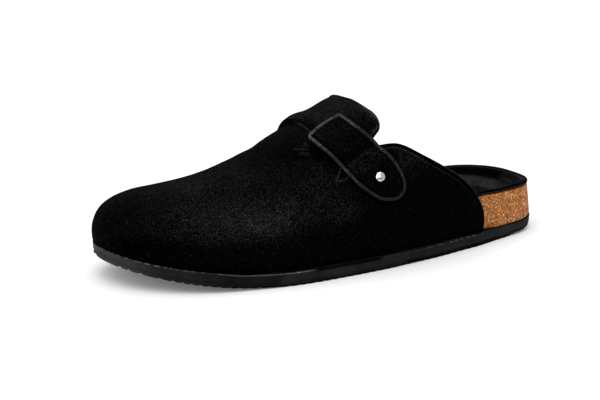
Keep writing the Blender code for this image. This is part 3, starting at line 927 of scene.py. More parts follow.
def strapSeat(x, t):
    down = fadeOut(t, bandEdge(x) - strap["edgeGap"], strap["drop"])
    return soleLevels["gap"] + (bandThick(x, t) + soleLevels["gap"]) * (1.0 - down)


def strapPlace(s, across):
    frontX, frontT, backX, backT = tableCurves(strap["rows"], s)
    return frontX + (backX - frontX) * across, frontT + (backT - frontT) * across


# piping sewn round the strap: a ribbed cord whose tone, with painted light and shade, is set along its run,
# from 0 to 1; lightest at the square end's front corner
piping = {
    "radius": 1.08,
    "rounding": 3,
    "edgeSteps": 150,
    "tipSteps": 14,
    "tipBulge": 0.004,
    "endSteps": 40,
    "endBulge": 0.0095,
    "softRounds": 30,
    "softTip": (110, 205, 20.0),
    "softFront": (0.45, 2, 4.0),
    "softBack": (0.1, 1, 3.0),
    "underShade": 0.10,
    "toneAt": (0.0, 0.02, 0.05, 0.10, 0.15, 0.20, 0.25, 0.30, 0.34, 0.38, 0.42, 0.50,
               0.53, 0.58, 0.62, 0.65, 0.68, 0.72, 0.77, 0.80, 0.84, 0.95, 0.98, 1.0),
    "tone": (1.0, 0.72, 0.70, 0.48, 0.40, 0.44, 0.40, 0.24, 0.36, 0.31, 0.26, 0.28,
             0.36, 0.32, 0.46, 0.54, 0.40, 0.22, 0.58, 0.72, 0.74, 0.75, 0.86, 1.0),
}


# straight join of two edge lines, bulged in the middle
def pipingJoin(start, end, steps, bulge):
    k = np.linspace(0.0, 1.0, steps)[1:-1]
    join = start + (end - start) * k[:, None]
    join[:, 1] += bulge * np.sin(math.pi * k)
    return join


# centre line of the piping: front edge, round end, back edge, square end, and the face's direction there
def pipingPath():
    s = np.linspace(0.0, 1.0, piping["edgeSteps"])
    front = np.stack(strapPlace(s, 0.0), -1)
    back = np.stack(strapPlace(s, 1.0), -1)[::-1]
    tip = pipingJoin(front[-1], back[0], piping["tipSteps"], -piping["tipBulge"])
    end = pipingJoin(back[-1], front[0], piping["endSteps"], piping["endBulge"])
    x, t = np.concatenate([front, tip, back, end]).T
    line = lifted(x, t, strapSeat(x, t) + strap["thick"] / 2)
    place = np.arange(len(line))
    first, final, run = piping["softTip"]
    soft = fadeIn(place, first, run) * fadeOut(place, final, run)
    frontCorner = np.minimum(place, len(line) - place)
    backCorner = np.abs(place - (len(line) - len(end) - 1))
    for away, (most, start, run) in ((frontCorner, piping["softFront"]), (backCorner, piping["softBack"])):
        soft = np.maximum(soft, most * (1.0 - fadeIn(away, start, run)))
    for _ in range(piping["softRounds"]):
        line += soft[:, None] * 0.5 * ((np.roll(line, 1, 0) + np.roll(line, -1, 0)) / 2 - line)
    return line, faceNormal(x, t)


pipingLine, pipingOut = pipingPath()

# upper: one wall of velvet and lining, with a turned edge round the collar
upper = {
    "wall": 2.2,
    "lateralCols": 134,
    "medialCols": 90,
    "crowd": 2.2,
    "crowdAt": (0.735, 0.085),
    "along": 96,
    "closeRows": 84,
    "closeZone": 58.0,
    "edgeRows": 34,
    "edgeZone": 11.0,
    "edgeMore": 6,
    "farAway": 99.0,
    "rollSteps": 8,
    "rollLeast": 0.06,
    "innerStep": 3,
    "turnIn": 8,
    "bead": 0.28,
    "groove": 0.55,
    "grooveAt": 2.3,
    "grooveMore": 0.7,
    "heelward": (0.66, 0.08),
    "pillow": 0.18,
    "reach": 0.8,
    "tuck": 0.55,
    "toeBulge": 0.45,
    "uneven": ((0.22, 26.0, 3.0), (0.10, 9.0, 11.0)),
    "edgeDark": 0.9,
    "seamHighlight": 0.55,
    "seamHighlightLess": 0.43,
    "rimLight": 0.1,
    "innerTone": 0.05,
    "collarColumns": ("rise", "lateral", "medial"),
    "collar": (
        (0.000, 50.4, 51.4),
        (0.015, 49.8, 51.0),
        (0.048, 51.8, 53.2),
        (0.107, 59.1, 61.5),
        (0.172, 69.9, 77.5),
        (0.251, 84.7, 94.0),
        (0.335, 97.6, 104.8),
        (0.390, 104.2, 111.2),
        (0.430, 108.9, 115.8),
        (0.458, 113.0, 119.2),
        (0.478, 117.8, 121.7),
        (0.492, 122.6, 123.7),
        (0.505, 127.2, 126.1),
        (0.560, 133.2, 131.6),
        (0.700, 138.5, 138.5),
        (0.850, 142.0, 142.0),
        (1.000, 143.5, 143.5),
    ),
}


def collarSide(name, side, steps, crowd=0.0):
    rows = np.array(upper["collar"])
    rise = np.linspace(0.0, 1.0, 1601)
    x = smoothCurve(rows[:, 0], rows[:, upper["collarColumns"].index(name)], rise)
    points = ribPoint(x, -side * (1.0 - rise))
    run = pathRun(points, 1.0 + crowd * hump(rise[1:], *upper["crowdAt"]))
    even = np.interp(np.linspace(0.0, run[-1], steps + 1), run, rise)
    return np.interp(even, rise, x), -side * (1.0 - even)


def collarLine(lateralSteps, medialSteps, crowd=0.0):
    lateralX, lateralT = collarSide("lateral", 1, lateralSteps, crowd)
    medialX, medialT = collarSide("medial", -1, medialSteps)
    return np.concatenate([lateralX, medialX[-2::-1]]), np.concatenate([lateralT, medialT[-2::-1]])


# the collar's line, and its direction over the edge away from the shoe
def collarFrame(x, t):
    edge = ribPoint(x, t)
    over = unit(np.cross(np.gradient(edge, axis=0), faceNormal(x, t)))
    over *= np.sign((over * np.array([-1.0, 0.0, 0.35])).sum(-1, keepdims=True))
    return edge, over


def collarReach(t):
    return upper["reach"] * fadeIn(np.abs(t), 0.40, 0.06) * fadeOut(np.abs(t), 0.93, 0.08)


# part of the collar that goes down to the heel, short of the sole
def collarSlope(t):
    return fadeIn(np.abs(t), 0.68, 0.06) * fadeOut(np.abs(t), 0.965, 0.04)


# the seam runs a little further from the edge where the collar goes down to the heel
def grooveAway(t):
    return upper["grooveAt"] + upper["grooveMore"] * fadeIn(np.abs(t), *upper["heelward"])


def moveOnFace(x, t, move):
    ahead, across = faceTangents(x, t)
    shift = [np.linalg.lstsq(np.stack([a, b], -1), m, rcond=None)[0] for a, b, m in zip(ahead, across, move)]
    return x + np.array(shift)[:, 0], t + np.array(shift)[:, 1]


def arcRows(total):
    close, edge = total - upper["closeZone"], total - upper["edgeZone"]
    return np.concatenate([
        np.linspace(0.0, close, upper["along"] + 1),
        np.linspace(close, edge, upper["closeRows"] + 1)[1:],
        np.linspace(edge, total, upper["edgeRows"] + 1)[1:],
    ])


# rows of the wall from the toe's tip to the collar
def upperGrid(startX, startT):
    fine = np.linspace(0.0, 1.0, 500) ** 2
    columns = []
    for endX, endT in zip(startX, startT):
        lineX = last["length"] - (last["length"] - endX) * fine
        run = pathRun(ribPoint(lineX, endT))
        columns.append(np.interp(arcRows(run[-1]), run, lineX))
    x = np.stack(columns, -1)
    return x, np.broadcast_to(startT, x.shape)


# painted shadow on the velvet beside the strap, most of all in front of it
strapShade = {
    "within": 55.0,
    "from": 0.8,
    "reach": 4.0,
    "frontMore": 7.0,
    "rearMore": 4.0,
    "least": 0.14,
}


def shadowBesideStrap(points, x, t):
    near = nearLine(points, pipingLine, strapShade["within"])
    ahead = hump(x[near], 155.0, 9.0) * hump(t[near], -0.42, 0.16)
    behind = hump(x[near], 124.0, 7.0)
    reach = strapShade["reach"] + strapShade["frontMore"] * ahead + strapShade["rearMore"] * behind
    far = pathDistance(points[near], closed(pipingLine))[0]
    share = np.ones(x.shape)
    share[near] = strapShade["least"] + (1.0 - strapShade["least"]) * fadeIn(far, strapShade["from"], reach)
    return share


# height of the velvet over the last, and its tone: the nap with painted sheen, painted highlights and painted
# shade
def upperFace(x, t, flat, near):
    aside = np.abs(t)
    high = flat[..., 2] - soleTop(x) - soleLevels["gap"]
    groove = grooveAway(t)
    seen = fadeIn(aside, 0.47, 0.05)
    lift, light = creaseForm(flat)
    for depth, size, seed in upper["uneven"]:
        lift = lift + depth * roughness(flat, size, seed)
    sewn = upper["bead"] * (1.0 - fadeIn(near, 1.0, 1.2)) - upper["groove"] * hump(near, groove, 0.5)
    sewn += upper["pillow"] * hump(near, 4.6, 1.6)
    lift = lift * fadeIn(high, 2.0, 10.0) * fadeIn(near, 1.0, 6.0) + sewn * seen
    lift += upper["toeBulge"] * hump(x, 266.0, 9.0) * fadeIn(high, 12.0, 10.0)
    lift -= upper["tuck"] * (1.0 - fadeIn(high, 0.0, 2.4))
    lift *= fadeOut(x, last["length"], 0.6)
    # painted sheen and shade, painted shadow beside the strap and painted light on the creases
    tone = velvetToneAndLight(x, t) * shadowBesideStrap(flat, x, t) + light
    # painted shade at the foot of the wall over the sole; the band from the collar's edge to its seam is
    # darker
    edgeBand = 1.0 - fadeIn(near - groove, -0.4, 0.5)
    tone = tone * fadeIn(high, 1.0, 4.0) * (1.0 - upper["edgeDark"] * edgeBand * seen)
    # painted highlight along the seam's ridge and along the collar's rim
    seam = upper["seamHighlight"] - upper["seamHighlightLess"] * fadeIn(aside, *upper["heelward"])
    tone = tone + seam * seen * hump(near, groove + 0.5, 0.42)
    tone = tone + upper["rimLight"] * collarSlope(t) * hump(near, 1.15, 0.3)
    return lift, np.clip(tone, 0.0, 1.0)


def makeUpper():
    edgeX, edgeT = collarLine(upper["lateralCols"], upper["medialCols"], upper["crowd"])
    edge, over = collarFrame(edgeX, edgeT)
    half = upper["wall"] / 2
    reach = collarReach(edgeT)[:, None]
    startX, startT = moveOnFace(edgeX, edgeT, over * (reach - half))
    startT = np.clip(startT, -1.0, 1.0)
    startT[0], startT[-1] = -1.0, 1.0
    x, t = upperGrid(startX, startT)
    cols, outerRows = len(startX), len(x) - 1
    flat = ribPoint(x, t)
    near = np.full(x.shape, upper["farAway"])
    rim = slice(outerRows - upper["edgeRows"] - upper["edgeMore"], outerRows + 1)
    near[rim] = pathDistance(flat[rim], edge + over * reach)[0]
    lift, tones = upperFace(x, t, flat, near)
    outer = lifted(x, t, lift)
    # inner face, thinned to nothing at both ends of the collar
    inside = np.ones(cols)
    inside[[0, -1]] = 0.0
    picked = np.unique(np.append(np.arange(0, outerRows, upper["innerStep"]), outerRows))
    inner = lifted(x[picked], t[picked], np.broadcast_to(-upper["wall"] * inside, (len(picked), cols)))
    tip = ribPoint(last["length"], 0.0)
    outer[0] = tip
    inner[0] = tip - np.outer(inside, (upper["wall"], 0.0, 0.0))
    # turned edge between the two
    endOut = faceNormal(startX, startT)
    middle = (outer[-1] + inner[-1]) / 2
    tall = np.linalg.norm(outer[-1] - inner[-1], axis=1)[:, None] / 2
    width = np.maximum(inside, upper["rollLeast"])[:, None]
    roll, rollHighlights = [], []
    for k in range(1, upper["rollSteps"]):
        angle = math.pi / 2 - math.pi * k / upper["rollSteps"]
        roll.append(middle + over * half * math.cos(angle) * width + endOut * tall * math.sin(angle))
        # painted highlight along the crest of the turned edge where the collar goes down to the heel
        rollHighlights.append(0.02 + 0.98 * collarSlope(startT) * hump(k, 2.4, 1.3))
    inner[-1] = middle - endOut * tall
    skin = np.concatenate([outer, np.array(roll), inner[::-1]])
    tones = np.concatenate([tones, np.array(rollHighlights), np.full(inner.shape[:2], upper["innerTone"])])
    bm, col, row = flatGrid(cols - 1, len(skin) - 1)
    layOut(bm, skin[row, col])
    turned = outerRows + upper["rollSteps"] + upper["turnIn"]
    rowOf = dict(zip(bm.verts, row))
    for face in bm.faces:
        face.material_index = int(min(rowOf[vert] for vert in face.verts) >= turned)
    paint(bm, "toneAndLight", tones[row, col])
    closeUp(bm)
    # lower edges of the wall, filled one side at a time
    tipY = toWorld(tip[None])[0][1]
    for side in (-1, 1):
        feather = [edge for edge in borderEdges(bm)
                   if side * (edge.verts[0].co.y + edge.verts[1].co.y - 2 * tipY) > 0]
        made = bmesh.ops.holes_fill(bm, edges=feather, sides=0)
        bmesh.ops.triangulate(bm, faces=made["faces"], ngon_method="EAR_CLIP")
    bmesh.ops.recalc_face_normals(bm, faces=bm.faces)
    finishPiece("upper_velvet", bm, [velvet, lining], ["upper"])


makeUpper()


# height of the band's face over the last: rolled edge, sewn dip, fuller back, sag in the middle
def bandLift(x, t, near, run):
    ahead = fadeOut(run, 0.3, 0.1) * fadeIn(t, -0.46, 0.06)
    back = fadeIn(run, 0.6, 0.25)
    curl = np.clip(near / (band["edgeRound"] + band["frontRound"] * ahead), 0.0, 1.0)
    curl = np.sqrt(np.clip(1.0 - (1.0 - curl) ** 2, 0.0, 1.0))
    bead = band["bead"] + (band["backBead"] + band["sideBead"] * fadeOut(t, -0.02, 0.1)) * back
    lift = bandThick(x, t) + band["fluff"] + bead * hump(near, 1.4, 1.2)
    lift = lift - band["frontFlat"] * ahead * fadeOut(t, 0.0, 0.12) * fadeOut(run, 0.28, 0.2)
    lift = lift + band["backFull"] * back * fadeOut(t, 0.10, 0.2)
    lift = lift + band["ridge"] * hump(x, 147.5, 4.5) * fadeIn(t, -0.06, 0.08)
    lift = lift - band["sag"] * hump(run, 0.52, 0.20) * hump(t, -0.02, 0.22)
    dip = band["seamDip"] * hump(near, band["seamAt"], band["seamWidth"])
    return band["lift"] + np.maximum(lift - dip, 0.0) * curl


# tone of the band: painted shade on its lateral and medial sides, over its front, beside the strap and along
# its border, with painted highlights on the rims at its back and front
def bandTone(x, t, near, run, flat):
    tone = band["tone"] - band["sideShade"] * fadeOut(t, -0.14, 0.16)
    tone = tone - band["medialShade"] * fadeIn(t, 0.3, 0.3)
    front = 1.0 - ease(run * band["length"] / band["frontShade"])
    tone = tone * (1.0 - band["frontShadeDepth"] * fadeOut(t, 0.03, 0.1) * front)
    tone = tone * shadowBesideStrap(flat, x, t)
    # painted shade along the band's border
    tone = tone * (0.1 + 0.9 * fadeIn(near, 0.9, 0.8))
    rear = fadeIn(run, 0.6, 0.2) * fadeOut(t, -0.14, 0.12)
    tone = tone + band["rearHighlight"] * rear * hump(near, 1.0 + 0.9 * fadeIn(t, -0.40, 0.1), 0.6)
    fore = (1.0 - fadeIn(run, 0.35, 0.1)) * fadeOut(t, 0.02, 0.06)
    ear = fadeOut(t, -0.49, 0.04)
    rim = (band["foreHighlight"] - band["earLess"] * ear) * fore * hump(near, 0.45 + 0.15 * ear, 0.34 + 0.26 * ear)
    return np.clip(tone + rim, 0.0, 1.0)


def makeBand():
    s = crowded(band["across"], *band["crowdAcross"])[None, :]
    run = crowded(band["along"], *band["crowdAlong"])[:, None]
    s, run = np.broadcast_arrays(s, run)
    x, t = bandPlace(s, run)
    flat = ribPoint(x, t)
    near = pathDistance(flat, bandBorder())[0]
    near[[0, -1]] = near[:, [0, -1]] = 0.0
    lift = bandLift(x, t, near, run) + band["uneven"] * roughness(flat, 11.0, 5.0) * fadeIn(near, 3.0, 5.0)
    bm, col, row = flatGrid(band["across"], band["along"])
    layOut(bm, lifted(x, t, lift)[row, col])
    paint(bm, "toneAndLight", bandTone(x, t, near, run, flat)[row, col])
    underSkin(bm, lifted(x, t, np.full(x.shape, band["lift"]))[row, col])
    closeUp(bm)
    piece = finishPiece("instep_band_velvet", bm, [velvet], ["instep_band"])


makeBand()


# rivet through the strap's round end: a low rim with a dome, seated on the velvet
rivet = {
    "x": 127.45,
    "t": -0.682,
    "radius": 2.76,
    "height": 1.3,
    "lift": 0.15,
    "lean": 0.22,
    "dip": 0.45,
    "dipReach": 4.6,
    "rim": ((0.80, -0.8), (1.0, -0.8), (1.0, 0.02), (0.985, 0.20), (0.94, 0.36)),
    "domeSteps": 14,
    "spinSteps": 48,
    "sideShade": 0.55,
    "lowDarkReflection": 0.92,
}


# tone of the strap: painted shade below the fold, a painted highlight along it, painted shade beside the
# piping
def strapTone(above, near):
    tone = strap["tone"] + 0.07 * fadeOut(above, -0.004, 0.010) - 0.09 * fadeOut(above, -0.06, 0.09)
    fold = 0.04 * fadeIn(above, 0.12, 0.12) - 0.045 * hump(above, 0.03, 0.035)
    tone += fold + 0.12 * hump(above, -0.006, 0.006)
    return np.clip(tone, 0.015, 1.0) * (0.05 + 0.95 * fadeIn(near, 1.2, 1.6))


def makeStrap():
    thick = strap["thick"]
    s = np.linspace(0.0, 1.0, strap["along"] + 1)[:, None]
    across = crowded(strap["across"], *strap["crowdAcross"])[None, :]
    s, across = np.broadcast_arrays(s, across)
    x, t = strapPlace(s, strap["margin"] + (1.0 - 2 * strap["margin"]) * across)
    flat = ribPoint(x, t)
    seat = strapSeat(x, t)
    near = pathDistance(lifted(x, t, seat + thick / 2), closed(pipingLine))[0]
    inside = fadeIn(near, 1.0, 3.0)
    border = np.zeros(x.shape, bool)
    border[[0, -1]] = border[:, [0, -1]] = True
    top = 0.55 * thick + (0.45 * thick + strap["crown"]) * fadeIn(near, 0.3, 3.2)
    head = lifted(np.array([rivet["x"]]), np.array([rivet["t"]]), np.array([1.0]))[0]
    top -= rivet["dip"] * hump(np.linalg.norm(flat - head, axis=-1), 0.0, rivet["dipReach"])
    foldX, foldT = np.array(strap["fold"]).T
    foldAway = pathDistance(flat, ribPoint(foldX, foldT))[0]
    top -= strap["foldDepth"] * hump(foldAway, 0.0, strap["foldWidth"]) * inside
    top += strap["uneven"] * roughness(flat, 8.0, 21.0) * inside
    top[border] = 0.5 * thick
    low = np.where(border, 0.5 * thick, 0.1)
    bm, col, row = flatGrid(strap["across"], strap["along"])
    layOut(bm, lifted(x, t, seat + top)[row, col])
    above = t - np.interp(x, foldX[::-1], foldT[::-1])
    paint(bm, "toneAndLight", strapTone(above, near)[row, col])
    underSkin(bm, lifted(x, t, seat + low)[row, col])
    closeUp(bm)
    finishPiece("strap_velvet", bm, [velvet], ["strap"])


makeStrap()


def makePiping():
    curve = bpy.data.curves.new("strap_piping", "CURVE")
    curve.dimensions = "3D"
    spline = curve.splines.new("POLY")
    spline.points.add(len(pipingLine) - 1)
    for point, place in zip(spline.points, toWorld(pipingLine)):
        point.co = (*place, 1.0)
    spline.use_cyclic_u = True
    curve.bevel_depth = piping["radius"] * mm
    curve.bevel_resolution = piping["rounding"]
    maker = bpy.data.objects.new("strap_piping_line", curve)
    scene.collection.objects.link(maker)
    bpy.context.view_layer.update()
    mesh = bpy.data.meshes.new_from_object(maker.evaluated_get(bpy.context.evaluated_depsgraph_get()))
    bpy.data.objects.remove(maker, do_unlink=True)
    bm = bmesh.new()
    bm.from_mesh(mesh)
    bpy.data.meshes.remove(mesh)
    # tone by the place along the piping, with painted light, and painted shade by how far it faces out of the
    # shoe
    places = shoePlaces(bm)
    ring = closed(pipingLine)
    marks = pathRun(ring)
    run = pathDistance(places, ring)[1]
    paint(bm, "run", run * marks[-1])
    marks = marks / marks[-1]
    out = unit(alongPath(run, marks, closed(pipingOut)))
    facing = (unit(places - alongPath(run, marks, ring)) * out).sum(1)
    tone = np.interp(run, piping["toneAt"], piping["tone"])
    under = piping["underShade"]
    paint(bm, "toneAndLight", tone * (under + (1.0 - under) * fadeIn(facing, -0.05, 0.75)))
    bmesh.ops.recalc_face_normals(bm, faces=bm.faces)
    finishPiece("strap_piping", bm, [pipingCloth], ["strap_binding"])


makePiping()


def makeRivet():
    radius, steps = rivet["radius"], rivet["domeSteps"]
    profile = [(radius * share, level) for share, level in rivet["rim"]]
    wide, foot = profile[-1]
    for k in range(1, steps + 1):
        angle = k / steps * math.pi / 2
        profile.append((wide * math.cos(angle), foot + (rivet["height"] - foot) * math.sin(angle)))
    bm = bmesh.new()
    corners = [bm.verts.new((r * mm, 0.0, z * mm)) for r, z in profile]
    edges = [bm.edges.new(pair) for pair in zip(corners, corners[1:])]
    bmesh.ops.spin(bm, geom=corners + edges, cent=(0, 0, 0), axis=(0, 0, 1), angle=2 * math.pi,
                   steps=rivet["spinSteps"], use_merge=True)
    mergeDoubles(bm, mergeGap / 2)
    bmesh.ops.holes_fill(bm, edges=bm.edges, sides=0)
    bmesh.ops.recalc_face_normals(bm, faces=bm.faces)
    x, t = np.array([rivet["x"]]), np.array([rivet["t"]])
    seat = toWorld(lifted(x, t, strapSeat(x, t) + strap["thick"] + rivet["lift"]))[0]
    up = (Vector(faceNormal(x, t)[0]) + Vector((rivet["lean"], 0.0, 0.0))).normalized()
    place = Matrix.Translation(Vector(seat)) @ up.to_track_quat("Z", "Y").to_matrix().to_4x4()
    bmesh.ops.transform(bm, matrix=place, verts=bm.verts)
    # painted reflection: darker on the side away from the toe, and a dark reflection below the middle of the
    # dome
    away = (np.array([vert.co for vert in bm.verts]) - np.array(place.translation)) / (radius * mm)
    high = Vector((0.0, 0.0, 1.0)) - up * up.z
    aside = away @ np.array(high.cross(up).normalized())
    aside = aside if high.cross(up).x < 0 else -aside
    above = away @ np.array(high.normalized())
    inside = fadeOut(np.hypot(aside, above), 0.98, 0.16)
    darkReflection = hump(above, -0.44 + 0.02 * aside, 0.22) * fadeOut(aside, 0.50, 0.6) * inside
    light = 1.0 - rivet["sideShade"] * fadeIn(aside, -0.20, 0.4) * inside
    paint(bm, "shade", light * (1.0 - rivet["lowDarkReflection"] * darkReflection))
    finishPiece("rivet_head", bm, [rivetMetal], ["rivet"])


makeRivet()

# stitches: small beads sunk half into the cloth, in rows along the seams
stitches = {
    "pitch": 2.6,
    "lift": 0.05,
    "bandSize": (0.95, 0.26, 0.22),
    "collarSize": (0.95, 0.24, 0.20),
    "front": 0.10,
    "back": 0.905,
    "medial": 0.965,
    "frontFrom": 0.66,
    "backFrom": 0.07,
    "collarFrom": 0.52,
    "collarTo": 0.84,
    "collarSteps": 400,
}


def makeStitches(name, lines, size):
    bm = bmesh.new()
    grow = Matrix.Diagonal((size[0] * mm, size[1] * mm, size[2] * mm, 1.0))
    for path, ups in lines:
        run = pathRun(path)
        for place in np.arange(stitches["pitch"] / 2, run[-1], stitches["pitch"]):
            at = alongPath(place, run, path)
            ahead = Vector(alongPath(place + 0.3, run, path) - at).normalized()
            up = Vector(alongPath(place, run, ups)).normalized()
            side = up.cross(ahead).normalized()
            turn = Matrix((ahead, side, ahead.cross(side))).transposed().to_4x4()
            bmesh.ops.create_uvsphere(bm, u_segments=6, v_segments=4, radius=1.0,
                                      matrix=Matrix.Translation(Vector(toWorld(at))) @ turn @ grow)
    bmesh.ops.recalc_face_normals(bm, faces=bm.faces)
    finishPiece(name, bm, [thread])


def bandSeam(s, run):
    s, run = np.broadcast_arrays(s, run)
    x, t = bandPlace(s, run)
    near = pathDistance(ribPoint(x, t), bandBorder())[0]
    return lifted(x, t, bandLift(x, t, near, run) + stitches["lift"]), faceNormal(x, t)


def collarSeam(name, side):
    x, t = collarSide(name, side, stitches["collarSteps"])
    keep = (np.abs(t) > stitches["collarFrom"]) & (np.abs(t) < stitches["collarTo"])
    over = collarFrame(x, t)[1][keep]
    x, t = x[keep], t[keep]
    x, t = moveOnFace(x, t, over * (collarReach(t) - grooveAway(t))[:, None])
    t = np.clip(t, -1.0, 1.0)
    return lifted(x, t, np.full(len(x), stitches["lift"] - upper["groove"])), faceNormal(x, t)


makeStitches("band_stitches", [
    bandSeam(np.linspace(stitches["frontFrom"], stitches["medial"], 140), stitches["front"]),
    bandSeam(np.linspace(stitches["backFrom"], stitches["medial"], 300), stitches["back"]),
    bandSeam(stitches["medial"], np.linspace(stitches["front"], stitches["back"], 120)),
], stitches["bandSize"])
makeStitches("collar_stitches", [collarSeam("lateral", 1), collarSeam("medial", -1)],
             stitches["collarSize"])


# sheet across a closed plan outline, each corner on the border tagged with its place in the outline
def planSheet(loop, rows, cols):
    bm, col, row = flatGrid(cols, rows)
    share = (1.0 - np.cos(math.pi * col / cols)) / 2
    lateral = loop[row]
    medial = loop[-row % len(loop)]
    plan = lateral + (medial - lateral) * share[:, None]
    tag = bm.verts.layers.int.new("edge")
    for vert, c, r in zip(bm.verts, col, row):
        vert[tag] = int(r if c < cols or r in (0, rows) else len(loop) - r)
    return bm, plan, tag


# one more ring on a border, placed by the tags of its corners, and its tones where a layer is given
def addRing(bm, edges, ring, tag, layer=None, tones=None):
    made = bmesh.ops.extrude_edge_only(bm, edges=edges)["geom"]
    fresh = {item for item in made if isinstance(item, bmesh.types.BMVert)}
    places = toWorld(ring)
    for vert in fresh:
        vert.co = places[vert[tag]]
        if layer is not None:
            vert[layer] = float(tones[vert[tag]])
    return [item for item in made if isinstance(item, bmesh.types.BMEdge) and set(item.verts) <= fresh]


# outsole: ribbed tread, fine notches where the ribs leave its edge, a line above them, a bead along the top
outsole = {
    "rows": 520,
    "cols": 34,
    "inset": 0.40,
    "pitch": 5.0,
    "groove": 1.25,
    "grooveShare": 0.30,
    "edgeGroove": 0.22,
    "toeGroove": 0.3,
    "toeGrooveOver": (222.0, 25.0),
    "heelGroove": 0.3,
    "heelGrooveOver": (60.0, 18.0),
    "wave": 1.8,
    "waveLength": 24.0,
    "heelLift": 1.4,
    "heelLiftOver": (31.0, 11.0),
    "toeLip": 0.9,
    "toeLipOver": (206.0, 22.0),
    # rings of the side: inset, share of the height, rise over that, depth of the notches
    "levels": (
        (0.15, 0.0, 0.30, 0.92),
        (0.30, 0.0, 0.80, 0.70),
        (0.48, 0.0, 1.25, 0.40),
        (0.50, 0.0, 1.75, 0.0),
        (0.86, 0.0, 2.00, 0.0),
        (0.80, 0.0, 2.22, 0.0),
        (0.22, 0.0, 2.45, 0.0),
        (0.06, 0.0, 2.90, 0.0),
        (0.00, 0.5, 0.0, 0.0),
        (0.00, 1.0, -1.50, 0.0),
        (-0.10, 1.0, -1.05, 0.0),
        (-0.14, 1.0, -0.70, 0.0),
        (-0.06, 1.0, -0.34, 0.0),
        (0.16, 1.0, -0.10, 0.0),
        (0.50, 1.0, 0.0, 0.0),
        (1.20, 1.0, 0.0, 0.0),
        (6.0, 1.0, 0.0, 0.0),
    ),
    "beadRises": (-0.34, -0.10),
    "lipInset": 0.6,
    "overhangShadeRise": -1.2,
    "shadeDepth": 0.18,
    # tones along the shoe: the bead's painted highlight, the side's tone, and the height of the painted shade
    # along the bottom edge
    "shineAt": (46.0, 54.0, 62.0, 82.0, 100.0, 130.0, 152.0, 178.0, 180.0,
                182.0, 184.0, 188.0, 215.0, 228.0, 240.0, 252.0, 262.0, 270.0),
    "shine": (0.0, 0.35, 0.50, 0.35, 0.15, 0.18, 0.40, 0.40, 0.70,
              0.75, 0.36, 0.38, 0.38, 0.26, 0.26, 0.45, 0.32, 0.2),
    "sideAt": (0.0, 30.0, 62.0, 100.0, 150.0, 182.0, 192.0, 208.0, 222.0, 240.0, 252.0, 260.0, 270.0),
    "side": (0.08, 0.08, 0.02, -0.01, 0.0, 0.005, -0.05, -0.07, -0.09, -0.04, -0.04, 0.10, 0.18),
    "shadeHeightAt": (0.0, 34.0, 48.0, 95.0, 130.0, 190.0, 215.0, 235.0, 270.0),
    "shadeHeight": (0.5, 1.6, 2.1, 2.0, 1.4, 1.3, 1.0, 0.3, 0.2),
}


def treadGroove(x, y):
    phase = (x + outsole["wave"] * np.sin(2 * math.pi * y / outsole["waveLength"])) / outsole["pitch"]
    away = np.abs(phase - np.rint(phase)) * outsole["pitch"]
    half = outsole["pitch"] * outsole["grooveShare"] / 2
    return 1.0 - fadeIn(away, half * 0.55, half * 0.9)


# the tread lifts a little behind the heel's bearing part
def heelLift(x):
    return outsole["heelLift"] * fadeOut(x, *outsole["heelLiftOver"])


# painted highlight along the bead, the side's tone, painted shade along the bottom edge and painted shade
# under the velvet's overhang
def outsoleTone(places, share, rise, bead):
    x = places[:, 0]
    breaks = fadeIn(roughness(places, 2.4, 51.0), -0.12, 0.3)
    whole = fadeIn(x, 178.0, 8.0) * fadeOut(x, 228.0, 10.0)
    shine = np.interp(x, outsole["shineAt"], outsole["shine"]) * (breaks + (1.0 - breaks) * 0.75 * whole)
    side = np.interp(x, outsole["sideAt"], outsole["side"])
    shadeHeight = np.interp(x, outsole["shadeHeightAt"], outsole["shadeHeight"]) + 0.5 * roughness(places, 4.0, 57.0)
    dark = fadeOut(rise, shadeHeight, 0.5) if share == 0.0 else 0.0 * x
    if share == 1.0 and rise > outsole["overhangShadeRise"]:
        dark = fadeIn(x, 124.0, 8.0) * fadeOut(x, 174.0, 8.0)
    return (shine if bead else side) * (1.0 - dark) - outsole["shadeDepth"] * dark


def makeOutsole():
    rows = outsole["rows"]
    bm, plan, tag = planSheet(planLoop(rows, outsole["inset"]), rows, outsole["cols"])
    x, y = plan.T
    rim = pathDistance(plan, closed(wholeLoop))[0]
    atEdge = outsole["edgeGroove"] + outsole["toeGroove"] * fadeIn(x, *outsole["toeGrooveOver"])
    deep = atEdge + (1.0 - atEdge) * fadeIn(rim, 1.2, 3.0)
    layOut(bm, onPlan(plan, treadLevel(x) + heelLift(x) + outsole["groove"] * deep * treadGroove(x, y)))
    mergeDoubles(bm)
    edges = borderEdges(bm)
    toneShineAndShade = bm.verts.layers.float.new("toneShineAndShade")
    for inset, share, rise, notch in outsole["levels"]:
        bead = share == 1.0 and rise in outsole["beadRises"]
        ring = planLoop(rows, inset)
        x, y = ring.T
        low = treadLevel(x) + heelLift(x) * (1.0 - share)
        atEdge = outsole["edgeGroove"] + outsole["toeGroove"] * fadeIn(x, *outsole["toeGrooveOver"])
        cut = notch * (atEdge + outsole["heelGroove"] * fadeOut(x, *outsole["heelGrooveOver"]))
        if share == 0.0:
            rise = rise * (1.0 - 0.5 * fadeOut(x, 34.0, 34.0))
        height = low + (soleTop(x) - low) * share + rise
        if share == 1.0 and inset < outsole["lipInset"]:
            height = height + outsole["toeLip"] * fadeIn(x, *outsole["toeLipOver"])
        places = onPlan(ring, height + outsole["groove"] * cut * treadGroove(x, y))
        edges = addRing(bm, edges, places, tag, toneShineAndShade, outsoleTone(places, share, rise, bead))
    fillHole(bm, edges)
    finishPiece("outsole_rubber", bm, [rubber], ["outsole"])


makeOutsole()

